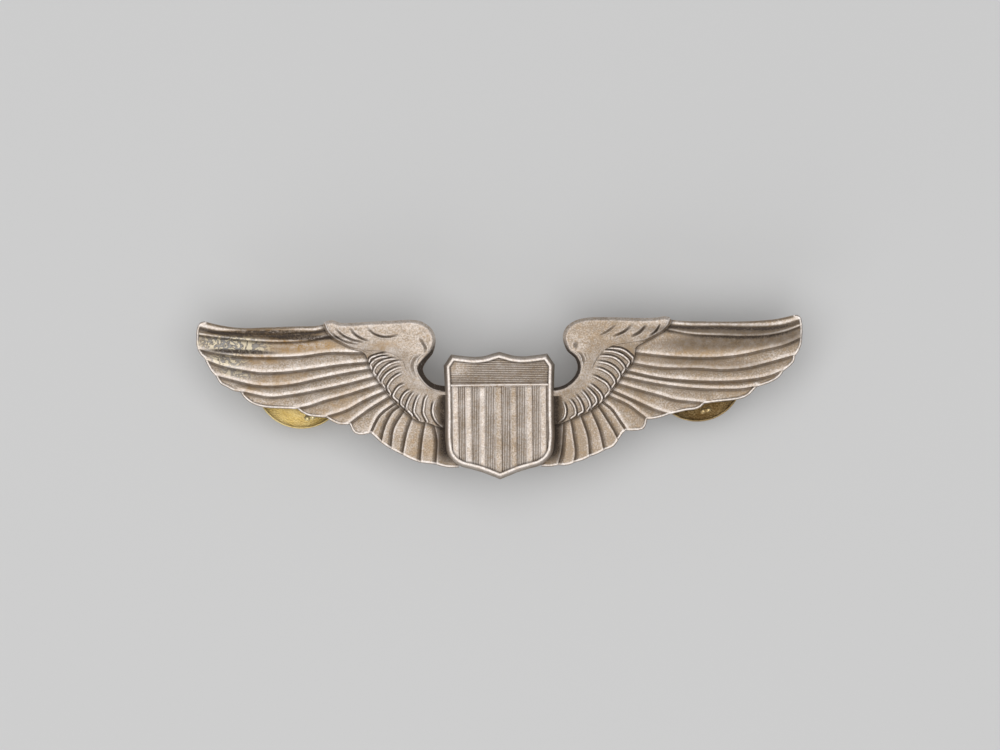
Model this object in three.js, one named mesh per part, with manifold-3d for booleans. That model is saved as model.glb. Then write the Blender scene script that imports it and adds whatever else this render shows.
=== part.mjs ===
// Pilot wings pin: a struck silver wing plate with an applied shield, two soldered
// posts, and a butterfly clutch on each post. Millimetres, +Z up, lying face up on
// its clutches. +X is to the viewer's right and +Y towards the top of the badge.
import * as THREE from "three";
import { mergeVertices } from "three/addons/utils/BufferGeometryUtils.js";
import Module from "manifold-3d";

const wasm = await Module();
wasm.setup();

// ---- Driving dimensions -------------------------------------------------------

// Where the posts stand: they were soldered on by eye, so one is a little higher.
const POSTS = { left: [-25, 2.25], right: [25, 2.65] };
const BACK_Z = 8.8; // the plate's flat back, above the table that the clutches stand on
const PLATE_THICK = 1.3; // at the long feathers
const COVERT_STEP = 0.4; // the covert tier stands this far above the long feathers
const ARM_STEP = 0.35; // and the arm this far above the coverts
const GROOVE_WIDE = 0.32;
const GROOVE_DEEP = 0.35;
const BRIDGE_THICK = 1.0; // the pad behind the shield
const SOLDER = 0.02; // film between soldered pieces
const SHIELD_THICK = 2.1;
const SHIELD_HALF_WIDE = 6.6;
const SHIELD_MIDDLE_Y = -2.2;
const SHIELD_RIM = 0.4;
const SHIELD_FIELD_DEEP = 0.3; // how far the field lies below the rim
const PAD_INSET = 0.35; // the pad's edge lies this far inside the shield's
const POCKET_GAP = 0.15; // round the shield, where the wings are cut away for it

const POST_RADIUS = 0.55;
const POST_TIP_Z = 1.8;
const DISC_FACE_Z = 5.62; // the flat that grips the cloth
const DISC_THICK = 0.37;
const DISC_RADIUS = 5.85;
const DISC_BORE = 0.75;
const HUB_RADIUS = 2.6;
const HUB_WALL = 0.3;
const HUB_BASE_Z = 1.45;
const SHEET = 0.4; // thickness of the ears
const JAW_HALF = 0.9; // half the ear's width where it passes into the hub
const EAR_HALF = 2.5; // and at its widest, under the finger
const EAR_PIVOT = [2.45, 3.1]; // distance from the post's axis, and height
const JAW_RADIUS = 0.61; // the half-round notch round the post
const WIRE_RADIUS = 0.2;
const WIRE_Z = 4.47;
const LEG_Y = 1.84; // the spring's straight legs lie this far to both sides of the post
const LEG_END_X = -1.15;
const BOW_RADIUS = 2.035;

// The leading edge of each wing, from under the shield round the wrist to the tip,
// with X counted outwards. The two wings were cut by hand and aren't quite alike.
const LEADING_EDGE = {
  left: [
    [5.4, 1.6], [7.7, 1.75], [8.75, 2.3], [9.4, 3.1], [9.6, 3.9], [9.35, 4.6],
    [8.8, 5.2], [8.25, 6.0], [7.95, 7.0], [8.0, 7.9], [8.4, 8.8], [9.4, 9.65],
    [10.9, 9.97], [13.5, 9.9], [17, 9.75], [19.2, 9.65], [20.2, 9.8], [21, 10.02],
    [21.7, 9.85], [22.15, 9.4], [23.5, 9.33], [27, 9.22], [31, 9.15], [34, 9.35],
    [35.6, 9.68], [36.9, 10.05], [37.6, 9.85], [37.98, 9.2], [38.1, 7.6],
  ],
  right: [
    [5.4, 1.25], [7.6, 1.4], [8.7, 1.95], [9.6, 2.95], [9.85, 3.9], [9.5, 5.0],
    [8.7, 5.75], [8.15, 6.6], [8.05, 7.6], [8.45, 8.75], [9.4, 9.6], [11.0, 10.0],
    [14, 10.05], [17.5, 9.92], [19.6, 9.95], [20.8, 10.12], [21.45, 9.95],
    [21.8, 9.62], [23.5, 9.48], [27, 9.38], [31, 9.38], [34, 9.52], [36, 9.85],
    [37.2, 10.15], [37.8, 9.9], [38.05, 9.2], [38.1, 7.4],
  ],
};

// The grooves between the long feathers, from the leading edge round to the shield:
// root, middle and tip. The last number is how far the feather below the groove
// bulges past a straight line from this tip to the next, as a share of that line.
const QUILLS = {
  left: [
    [[22.2, 8.4], [30, 8.15], [37.6, 9.1], 0],
    [[21.6, 7.3], [29.5, 7.35], [37.9, 8.45], 0],
    [[17.8, 5.9], [28.5, 5.3], [37.8, 6.45], 0.08],
    [[16.8, 4.45], [27, 3.45], [36.85, 5.0], 0.12],
    [[16.5, 3.5], [27, 1.8], [35.5, 3.05], 0.22],
    [[16.1, 2.6], [25.5, 0.65], [32.45, 1.1], 0.2],
    [[15.5, 1.6], [20.5, 0.25], [25.4, -1.1], 0.17],
    [[15.0, 0.7], [18.3, -0.75], [21.8, -2.2], 0.2],
    [[14.0, -0.1], [16.5, -1.35], [18.8, -3.1], 0.4],
    [[13.2, -0.8], [14.9, -2.2], [16.2, -4.15], 0.06],
    [[12.7, -1.2], [13.95, -2.9], [14.9, -5.4], 0.08],
    [[11.9, -1.7], [12.8, -3.9], [13.7, -6.2], 0.1],
    [[11.0, -2.3], [11.7, -4.5], [12.3, -7.0], 0.1],
    [[9.5, -2.9], [9.75, -5.2], [10.05, -7.9], 0.08],
    [[8.3, -3.2], [8.1, -5.6], [7.8, -8.35], 0.1],
    [[7.2, -3.7], [6.9, -5.8], [5.2, -8.6], 0],
  ],
  right: [
    [[21.9, 8.65], [30, 8.4], [37.7, 9.35], 0],
    [[21.6, 7.9], [30, 7.45], [38.0, 8.7], 0],
    [[17.3, 5.35], [28.5, 4.75], [38.05, 7.1], 0.1],
    [[17.0, 3.95], [27.5, 3.25], [37.1, 4.95], 0.25],
    [[16.3, 2.95], [27, 1.75], [35.6, 3.05], 0.24],
    [[15.9, 2.1], [25, 0.85], [32.3, 1.1], 0.2],
    [[15.3, 1.3], [20, 0.1], [25.6, -0.95], 0.17],
    [[15.0, 0.2], [17.8, -0.95], [21.3, -2.25], 0.12],
    [[14.1, -0.3], [16.3, -1.15], [18.5, -2.85], 0.42],
    [[13.2, -0.9], [14.5, -2.2], [15.85, -4.2], 0.05],
    [[12.6, -1.3], [13.7, -2.9], [14.9, -5.3], 0.24],
    [[11.6, -1.8], [12.6, -4.0], [13.1, -6.65], 0.14],
    [[10.3, -2.4], [11.15, -4.8], [11.3, -7.4], 0.14],
    [[9.0, -2.8], [9.35, -5.3], [9.35, -8.1], 0.2],
    [[8.2, -3.1], [7.95, -5.5], [7.3, -8.4], 0.1],
    [[7.2, -3.6], [6.9, -5.8], [5.2, -8.6], 0],
  ],
};
const FIRST_CUSP = 2; // the first groove whose end shows in the outline
const SCALLOP_PULL = 1.2; // how far a tip's control point is drawn out, for each unit of bulge
const SCALLOP_SKEW = 0.15; // a feather's tip bulges most towards its outer side
const WING_ROOT = [5.2, -8.5]; // where the wing's lower edge goes under the shield

// The lower edge of the arm, from its tip inwards, and then the covert tips.
const COVERT_LINE = {
  left: [
    [22.1, 9.3], [21.5, 8.4], [20.4, 7.5], [18.9, 6.6], [17.3, 6.1], [16.4, 5.2],
    [16.1, 4.0], [15.3, 2.6], [14.4, 1.4], [13.4, 0.2], [12.3, -0.9], [11.2, -1.9],
    [10.0, -2.6], [8.8, -3.0], [7.4, -3.5], [5.4, -3.7],
  ],
  right: [
    [21.5, 9.4], [21.2, 8.7], [20.2, 7.9], [18.9, 7.2], [17.5, 6.5], [16.9, 5.0],
    [16.4, 3.9], [15.4, 2.6], [14.4, 1.2], [13.4, 0.1], [12.4, -0.9], [11.2, -1.7],
    [10.1, -2.2], [9.0, -2.7], [7.6, -3.3], [5.4, -3.5],
  ],
};
// The lower edge of the smooth arm and neck, inside the coverts.
const NECK_LINE = {
  left: [
    [22.1, 9.3], [21.3, 8.5], [19.8, 7.7], [17.5, 7.1], [15.0, 6.4], [13.0, 5.4],
    [12.0, 4.2], [11.7, 2.8], [10.6, 1.4], [9.2, 0.8], [7.6, 0.4], [5.4, 0.3],
  ],
  right: [
    [21.5, 9.4], [21.1, 8.8], [19.8, 7.9], [17.5, 7.1], [14.8, 6.5], [12.9, 5.6],
    [12.0, 4.3], [11.3, 2.8], [10.4, 1.3], [9.2, 0.6], [7.7, 0.2], [5.4, 0.2],
  ],
};

// The shield's right half, from the middle of its top edge to its point.
const SHIELD_HALF = [
  [0, 5.62], [0.9, 5.35], [2.0, 5.12], [3.4, 5.03], [5.0, 5.15], [5.95, 5.3],
  [6.8, 4.2], [6.7, 2.6], [6.66, 0], [6.64, -5.6], [6.45, -6.7], [5.8, -7.7],
  [4.6, -8.45], [2.2, -9.25], [0.8, -9.82], [0, -10.15],
];

// ---- Materials ------------------------------------------------------------------

function metal(color, roughness) {
  return new THREE.MeshStandardMaterial({ color, roughness, metalness: 1 });
}
const agedSilver = metal(0xa89a88, 0.42);
const wornSilver = metal(0xc4bab0, 0.36);
const brass = metal(0xb8963e, 0.35);
const springBrass = metal(0xa5883f, 0.3);
const nickelBrass = metal(0xb0a084, 0.35);

// ---- Making solids ----------------------------------------------------------------

function toSolid(geometry) {
  const bare = geometry.index ? geometry.toNonIndexed() : geometry.clone();
  bare.deleteAttribute("normal");
  bare.deleteAttribute("uv");
  const merged = mergeVertices(bare, 1e-4);
  return new wasm.Manifold(
    new wasm.Mesh({
      numProp: 3,
      vertProperties: merged.attributes.position.array,
      triVerts: new Uint32Array(merged.index.array),
    }),
  );
}

function toGeometry(solid) {
  const mesh = solid.getMesh();
  const geometry = new THREE.BufferGeometry();
  const position = new THREE.BufferAttribute(new Float32Array(mesh.vertProperties), 3);
  geometry.setAttribute("position", position);
  geometry.setIndex(new THREE.BufferAttribute(new Uint32Array(mesh.triVerts), 1));
  geometry.computeVertexNormals();
  return geometry;
}

// A flat outline made a solid from one height to another.
function slab(outline, bottom, top) {
  const options = { depth: top - bottom, bevelEnabled: false, curveSegments: 6 };
  return new THREE.ExtrudeGeometry(outline, options).translate(0, 0, bottom);
}

// A profile of (radius, height) pairs turned about the vertical axis.
function turned(profile, segments) {
  const points = profile.map(([r, z]) => new THREE.Vector2(r, z));
  return new THREE.LatheGeometry(points, segments).rotateX(Math.PI / 2);
}

function block(wide, long, high, x, y, z) {
  return new THREE.BoxGeometry(wide, long, high).translate(x, y, z);
}

// A smooth line through points, as 2D vectors.
function smoothLine(points, perSpan, sign = 1) {
  const through = points.map(([x, y]) => new THREE.Vector3(sign * x, y, 0));
  const curve = new THREE.CatmullRomCurve3(through, false, "centripetal");
  const line = curve.getPoints(perSpan * (points.length - 1));
  return line.map((p) => new THREE.Vector2(p.x, p.y));
}

// The quadratic curve from a to b that passes through m half way.
function arcThrough(a, m, b, sign) {
  const bend = [2 * m[0] - (a[0] + b[0]) / 2, 2 * m[1] - (a[1] + b[1]) / 2];
  const [start, control, end] = [a, bend, b].map(([x, y]) => new THREE.Vector2(sign * x, y));
  return new THREE.QuadraticBezierCurve(start, control, end);
}

// ---- The wing plate ---------------------------------------------------------------

// The scalloped trailing edge: one rounded tip from each groove's end to the next.
function trailingEdge(quills, sign) {
  const line = [];
  for (let i = FIRST_CUSP; i < quills.length - 1; i++) {
    const [x0, y0] = quills[i][2];
    const [x1, y1] = quills[i + 1][2];
    const bulge = quills[i][3];
    const [dx, dy] = [x1 - x0, y1 - y0];
    const bend = new THREE.Vector2(
      sign * ((x0 + x1) / 2 - dy * bulge * SCALLOP_PULL - dx * SCALLOP_SKEW),
      (y0 + y1) / 2 + dx * bulge * SCALLOP_PULL - dy * SCALLOP_SKEW,
    );
    const from = new THREE.Vector2(sign * x0, y0);
    const to = new THREE.Vector2(sign * x1, y1);
    line.push(...new THREE.QuadraticBezierCurve(from, bend, to).getPoints(4).slice(0, 4));
  }
  return line;
}

function wingOutline(side, sign) {
  const lead = smoothLine(LEADING_EDGE[side], 2, sign);
  const inner = new THREE.Vector2(sign * WING_ROOT[0], WING_ROOT[1]);
  return new THREE.Shape([...lead, ...trailingEdge(QUILLS[side], sign), inner]);
}

// The part of the wing between the leading edge and a line inside it.
function tierOutline(side, sign, lowerLine) {
  const lead = smoothLine(LEADING_EDGE[side], 2, sign);
  const armTip = lead.findIndex((p) => Math.abs(p.x) > lowerLine[0][0] - 0.2);
  return new THREE.Shape([...lead.slice(0, armTip), ...smoothLine(lowerLine, 1, sign)]);
}

// The shield's outline, grown outwards by a share of its own size.
function shieldOutline(grow) {
  const stretch = 1 + grow / SHIELD_HALF_WIDE;
  const right = SHIELD_HALF.map(
    ([x, y]) => new THREE.Vector2(x * stretch, SHIELD_MIDDLE_Y + (y - SHIELD_MIDDLE_Y) * stretch),
  );
  const left = right.slice(1, -1).reverse().map((p) => new THREE.Vector2(-p.x, p.y));
  return new THREE.Shape([...right, ...left]);
}

// The solid that cuts a groove along a quill, running out past the feather's tip.
function groove(quill, sign, top) {
  const curve = arcThrough(quill[0], quill[1], quill[2], sign);
  const outer = [];
  const inner = [];
  for (const t of [0, 0.25, 0.5, 0.75, 1, 1.05]) {
    const along = curve.getTangent(Math.min(t, 1));
    const across = new THREE.Vector2(-along.y, along.x).multiplyScalar(GROOVE_WIDE / 2);
    const point = curve.getPoint(Math.min(t, 1));
    point.addScaledVector(along, t > 1 ? GROOVE_WIDE : 0);
    outer.push(point.clone().add(across));
    inner.unshift(point.clone().sub(across));
  }
  return toSolid(slab(new THREE.Shape([...outer, ...inner]), top - GROOVE_DEEP, top + 1));
}

function wingSolid(side, sign) {
  const feathersTop = BACK_Z + PLATE_THICK;
  let feathers = toSolid(slab(wingOutline(side, sign), BACK_Z, feathersTop));
  for (const quill of QUILLS[side]) {
    feathers = feathers.subtract(groove(quill, sign, feathersTop));
  }
  const covertTop = feathersTop + COVERT_STEP;
  const coverts = slab(tierOutline(side, sign, COVERT_LINE[side]), BACK_Z, covertTop);
  const arm = slab(tierOutline(side, sign, NECK_LINE[side]), BACK_Z, covertTop + ARM_STEP);
  return feathers.add(toSolid(coverts)).add(toSolid(arm));
}

function wingsPlate() {
  const bridgeTop = BACK_Z + BRIDGE_THICK;
  const pad = toSolid(slab(shieldOutline(-PAD_INSET), BACK_Z, bridgeTop));
  const pocket = toSolid(slab(shieldOutline(POCKET_GAP), bridgeTop, BACK_Z + 9));
  const wings = wingSolid("left", -1).add(wingSolid("right", 1));
  return toGeometry(wings.add(pad).subtract(pocket));
}

// ---- The shield ---------------------------------------------------------------------

const CHIEF_BAR_Y = 1.7;
const CHIEF_BAR_WIDE = 0.3;
const STRIPES = 13;
const STRIPE_PITCH = 0.915;
const STRIPE_DEEP = 0.12;

function shield() {
  const bottom = BACK_Z + BRIDGE_THICK + SOLDER;
  const top = bottom + SHIELD_THICK;
  const field = top - SHIELD_FIELD_DEEP;
  let solid = toSolid(slab(shieldOutline(0), bottom, top));
  const well = toSolid(slab(shieldOutline(-2 * SHIELD_RIM), field, top + 1));
  const bar = toSolid(block(20, CHIEF_BAR_WIDE, 4, 0, CHIEF_BAR_Y, top));
  solid = solid.subtract(well.subtract(bar));
  const low = shieldOutline(-2 * SHIELD_RIM - 0.2);
  const below = toSolid(slab(low, field - STRIPE_DEEP, top + 1));
  for (let k = 1; k < STRIPES; k += 2) {
    const x = (k - (STRIPES - 1) / 2) * STRIPE_PITCH;
    const y = CHIEF_BAR_Y - CHIEF_BAR_WIDE / 2;
    const stripe = toSolid(block(STRIPE_PITCH, 20, 1, x, y - 10, field));
    solid = solid.subtract(stripe.intersect(below));
  }
  return toGeometry(solid);
}

// ---- A post: a headed pin, turned in one piece --------------------------------------

function post() {
  const head = BACK_Z - SOLDER;
  const grooveZ = [4.45, 3.3];
  const profile = [[0, POST_TIP_Z], [0.12, POST_TIP_Z + 0.05], [POST_RADIUS, POST_TIP_Z + 1.0]];
  for (const z of [...grooveZ].reverse()) {
    profile.push([POST_RADIUS, z - 0.18], [POST_RADIUS - 0.14, z], [POST_RADIUS, z + 0.18]);
  }
  profile.push([POST_RADIUS, head - 0.7], [0.8, head - 0.5], [1.5, head - 0.4]);
  profile.push([1.6, head - 0.3], [1.6, head], [0, head]);
  return turned(profile, 16);
}

// ---- The clutch -----------------------------------------------------------------------

const NIB_RING = 4.45;
const NIB_PAIR_SPREAD = 0.078; // radians either side of a pair's middle
const NIB_PAIRS = 4;
const NIB_FIRST = -1.34; // radians

// The dished disc that presses on the cloth, with raised nibs that bite into it.
function clutchDisc() {
  const under = DISC_FACE_Z - DISC_THICK;
  const rim = DISC_RADIUS;
  const profile = [
    [DISC_BORE, under], [4.6, under], [5.0, under + 0.05], [rim - 0.2, under + 0.22],
    [rim, under + 0.42], [rim, under + 0.62], [rim - 0.15, DISC_FACE_Z + 0.38],
    [rim - 0.42, DISC_FACE_Z + 0.3], [rim - 0.8, DISC_FACE_Z + 0.06],
    [4.7, DISC_FACE_Z], [DISC_BORE, DISC_FACE_Z], [DISC_BORE, under],
  ];
  let disc = toSolid(turned(profile, 36));
  for (let i = 0; i < NIB_PAIRS; i++) {
    for (const side of [-1, 1]) {
      const angle = NIB_FIRST + (i * 2 * Math.PI) / NIB_PAIRS + side * NIB_PAIR_SPREAD;
      const nib = turned([[0, -0.2], [0.3, -0.2], [0.24, 0.14], [0, 0.27]], 6);
      nib.translate(NIB_RING * Math.cos(angle), NIB_RING * Math.sin(angle), DISC_FACE_Z);
      disc = disc.add(toSolid(nib));
    }
  }
  return toGeometry(disc);
}

// The drawn cup behind the disc, with a slot on each side for an ear.
function clutchHub() {
  const lip = DISC_FACE_Z - DISC_THICK - 0.03;
  const inner = HUB_RADIUS - HUB_WALL;
  const base = HUB_BASE_Z;
  const profile = [
    [0, base], [1.5, base + 0.06], [2.2, base + 0.35], [HUB_RADIUS, base + 1.0],
    [HUB_RADIUS, lip - 0.5], [HUB_RADIUS + 0.15, lip - 0.3], [3.4, lip - 0.25],
    [3.4, lip], [inner, lip], [inner, base + 1.1], [1.95, base + 0.6],
    [1.4, base + 0.36], [0, base + 0.3],
  ];
  let hub = toSolid(turned(profile, 32));
  for (const side of [-1, 1]) {
    const slot = block(2 * JAW_HALF + 0.3, 1.2, 2.2, 0, side * 2.5, EAR_PIVOT[1] + 0.05);
    hub = hub.subtract(toSolid(slot));
  }
  return toGeometry(hub);
}

// The ear's side view: a bent strip, as its middle line of (distance, height) pairs.
const EAR_LINE = [
  [0.2, 4.45], [1.0, 4.45], [1.45, 4.2], [2.45, 3.1], [3.0, 2.2], [3.6, 1.25],
  [4.0, 0.6], [4.3, 0.27], [4.65, 0.2], [5.0, 0.27], [5.3, 0.42],
];

// A line given thickness: each point is moved to both sides, across the line there.
function thickened(line, thick) {
  const across = line.map((p, i) => {
    const [a, b] = [line[Math.max(i - 1, 0)], line[Math.min(i + 1, line.length - 1)]];
    const length = Math.hypot(b[0] - a[0], b[1] - a[1]);
    return [-(b[1] - a[1]) / length, (b[0] - a[0]) / length];
  });
  const sideOf = (s) =>
    line.map(([x, y], i) => [x + (s * thick * across[i][0]) / 2, y + (s * thick * across[i][1]) / 2]);
  return [...sideOf(1), ...sideOf(-1).reverse()];
}

// The ear in plan: a narrow jaw that widens to a rounded finger tab.
function earPlan() {
  const plan = new THREE.Shape();
  plan.moveTo(0, -JAW_HALF);
  plan.lineTo(2.95, -JAW_HALF);
  plan.quadraticCurveTo(3.4, -JAW_HALF, 3.6, -1.6);
  plan.quadraticCurveTo(3.9, -EAR_HALF, 4.5, -EAR_HALF);
  plan.quadraticCurveTo(5.5, -EAR_HALF, 5.5, 0);
  plan.quadraticCurveTo(5.5, EAR_HALF, 4.5, EAR_HALF);
  plan.quadraticCurveTo(3.9, EAR_HALF, 3.6, 1.6);
  plan.quadraticCurveTo(3.4, JAW_HALF, 2.95, JAW_HALF);
  plan.lineTo(0, JAW_HALF);
  return plan;
}

// One spring-brass ear: its outer end is squeezed, its inner end is a jaw on the post.
function clutchEar(direction) {
  const side = thickened(EAR_LINE, SHEET).map(([s, z]) => new THREE.Vector2(s, z));
  const strip = new THREE.ExtrudeGeometry(new THREE.Shape(side), {
    depth: 2 * EAR_HALF,
    bevelEnabled: false,
  });
  strip.rotateX(Math.PI / 2).translate(0, EAR_HALF, 0);
  const plan = new THREE.ExtrudeGeometry(earPlan(), {
    depth: 8,
    bevelEnabled: false,
    curveSegments: 4,
  });
  plan.translate(0, 0, -1);
  const bore = turned([[0, 0], [JAW_RADIUS, 0], [JAW_RADIUS, 7], [0, 7]], 24);
  const ear = toSolid(strip).intersect(toSolid(plan)).subtract(toSolid(bore));
  return toGeometry(ear).rotateZ((direction * Math.PI) / 2);
}

// The hairpin spring: two straight legs behind the jaws and a bow round one side.
function clutchSpring() {
  const at = (x, y) => new THREE.Vector3(x, y, WIRE_Z);
  const meet = Math.asin(LEG_Y / BOW_RADIUS);
  const points = [at(LEG_END_X, LEG_Y - 0.12), at(LEG_END_X + 0.3, LEG_Y), at(0, LEG_Y)];
  for (let i = 0; i <= 8; i++) {
    const angle = meet * (1 - i / 4);
    points.push(at(BOW_RADIUS * Math.cos(angle), BOW_RADIUS * Math.sin(angle)));
  }
  points.push(at(0, -LEG_Y), at(LEG_END_X + 0.3, -LEG_Y), at(LEG_END_X, 0.12 - LEG_Y));
  const section = new THREE.Shape();
  for (let i = 0; i < 8; i++) {
    const turn = (i * Math.PI) / 4;
    section[i ? "lineTo" : "moveTo"](WIRE_RADIUS * Math.cos(turn), WIRE_RADIUS * Math.sin(turn));
  }
  const path = new THREE.CatmullRomCurve3(points, false, "centripetal");
  return new THREE.ExtrudeGeometry(section, { steps: 30, bevelEnabled: false, extrudePath: path });
}

// ---- Assembly ---------------------------------------------------------------------

function piece(name, geometry, material, x = 0, y = 0) {
  const mesh = new THREE.Mesh(geometry, material);
  mesh.name = name;
  mesh.position.set(x, y, 0);
  return mesh;
}

const wings_pin = new THREE.Group();
wings_pin.add(piece("wings_plate", wingsPlate(), agedSilver));
wings_pin.add(piece("shield", shield(), wornSilver));

for (const [side, [x, y]] of Object.entries(POSTS)) {
  wings_pin.add(piece(`${side}_post`, post(), nickelBrass, x, y));
  wings_pin.add(piece(`${side}_clutch_disc`, clutchDisc(), brass, x, y));
  wings_pin.add(piece(`${side}_clutch_hub`, clutchHub(), brass, x, y));
  wings_pin.add(piece(`${side}_clutch_spring`, clutchSpring(), springBrass, x, y));
  wings_pin.add(piece(`${side}_clutch_ear_upper`, clutchEar(1), springBrass, x, y));
  wings_pin.add(piece(`${side}_clutch_ear_lower`, clutchEar(-1), springBrass, x, y));
}

export default wings_pin;
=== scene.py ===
import math

import bpy
import numpy as np
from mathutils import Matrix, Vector


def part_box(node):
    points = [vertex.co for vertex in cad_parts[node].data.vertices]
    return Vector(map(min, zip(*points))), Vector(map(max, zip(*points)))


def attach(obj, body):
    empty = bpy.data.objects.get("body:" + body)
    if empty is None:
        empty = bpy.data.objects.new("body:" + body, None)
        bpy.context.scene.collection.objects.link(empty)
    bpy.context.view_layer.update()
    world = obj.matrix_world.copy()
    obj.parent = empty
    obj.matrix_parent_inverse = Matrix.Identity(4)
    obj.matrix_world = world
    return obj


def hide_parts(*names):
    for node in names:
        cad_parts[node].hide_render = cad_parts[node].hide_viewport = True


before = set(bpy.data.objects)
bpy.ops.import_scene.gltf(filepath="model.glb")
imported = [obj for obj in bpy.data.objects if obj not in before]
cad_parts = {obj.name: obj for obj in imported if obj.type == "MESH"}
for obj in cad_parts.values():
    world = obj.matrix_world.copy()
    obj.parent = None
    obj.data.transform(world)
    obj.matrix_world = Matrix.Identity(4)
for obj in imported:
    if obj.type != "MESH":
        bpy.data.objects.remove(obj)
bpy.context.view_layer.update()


# ---- Camera, floor and light ----------------------------------------------------------
# A copy stand: the camera looks straight down on a pale grey board. A wide soft panel
# hangs overhead, a window lights the badge from below left, and the white room fills in.

MM = 0.001
AIM = (0.09 * MM, 2.94 * MM)
VIEW_WIDE = 125.3 * MM  # how much of the badge's plane the camera sees
CAMERA_HIGH = 0.56
BADGE_PLANE = 10.3 * MM
ROLL = math.radians(-0.57)  # the badge lies slightly turned on the board

camera_data = bpy.data.cameras.new("copy_stand_camera")
camera_data.lens = camera_data.sensor_width * (CAMERA_HIGH - BADGE_PLANE) / VIEW_WIDE
camera_data.clip_start = 0.01
camera_data.clip_end = 10
camera = bpy.data.objects.new("copy_stand_camera", camera_data)
camera.location = (*AIM, CAMERA_HIGH)
camera.rotation_euler = (0, 0, ROLL)
bpy.context.scene.collection.objects.link(camera)
bpy.context.scene.camera = camera
bpy.context.scene.view_settings.view_transform = "Standard"

BOARD_GREY = (0.585, 0.585, 0.585, 1)
BOARD_ROUGHNESS = 0.95
BOARD_SPECULAR = 0.1
BOARD_HALF = 1.5
BOARD_CORNERS = ((-1, -1), (1, -1), (1, 1), (-1, 1))

board_mesh = bpy.data.meshes.new("board")
board_mesh.from_pydata([(x * BOARD_HALF, y * BOARD_HALF, 0) for x, y in BOARD_CORNERS], [],
                       [(0, 1, 2, 3)])
board = bpy.data.objects.new("board", board_mesh)
bpy.context.scene.collection.objects.link(board)
board_paint = bpy.data.materials.new("board_paint")
board_paint.use_nodes = True
board_shader = board_paint.node_tree.nodes["Principled BSDF"]
board_shader.inputs["Base Color"].default_value = BOARD_GREY
board_shader.inputs["Roughness"].default_value = BOARD_ROUGHNESS
board_shader.inputs["Specular IOR Level"].default_value = BOARD_SPECULAR
board.data.materials.append(board_paint)

ROOM_LIGHT = 0.25
PANELS = {  # place, width, power in watts
    "overhead_panel": ((-0.02, -0.03, 0.9), 0.95, 7.9),
    "side_window": ((-0.4, -0.85, 0.5), 0.7, 2.0),
}

room = bpy.data.worlds.new("white_room")
room.use_nodes = True
room.node_tree.nodes["Background"].inputs["Color"].default_value = (1, 1, 1, 1)
room.node_tree.nodes["Background"].inputs["Strength"].default_value = ROOM_LIGHT
bpy.context.scene.world = room
for panel_name, (place, wide, power) in PANELS.items():
    light = bpy.data.lights.new(panel_name, "AREA")
    light.size = wide
    light.energy = power
    panel = bpy.data.objects.new(panel_name, light)
    panel.location = place
    panel.rotation_euler = (-Vector(place)).to_track_quat("-Z", "Y").to_euler()
    bpy.context.scene.collection.objects.link(panel)


# ---- The wings ------------------------------------------------------------------------
# Two wings struck in one silver plate: a smooth arm and neck, a fan of short coverts
# with raised rims, and long feathers that lap like slates, each with a worn ridge
# beside a tarnished groove. The back is flat. The cutting was finished by hand, so the
# two sides aren't alike. All tables are in millimetres with x counted outwards.

BACK_Z = 8.8
FEATHER_Z = 10.12  # the worn ridges of the long feathers
COVERT_Z = 10.42
ARM_Z = 10.78

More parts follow.
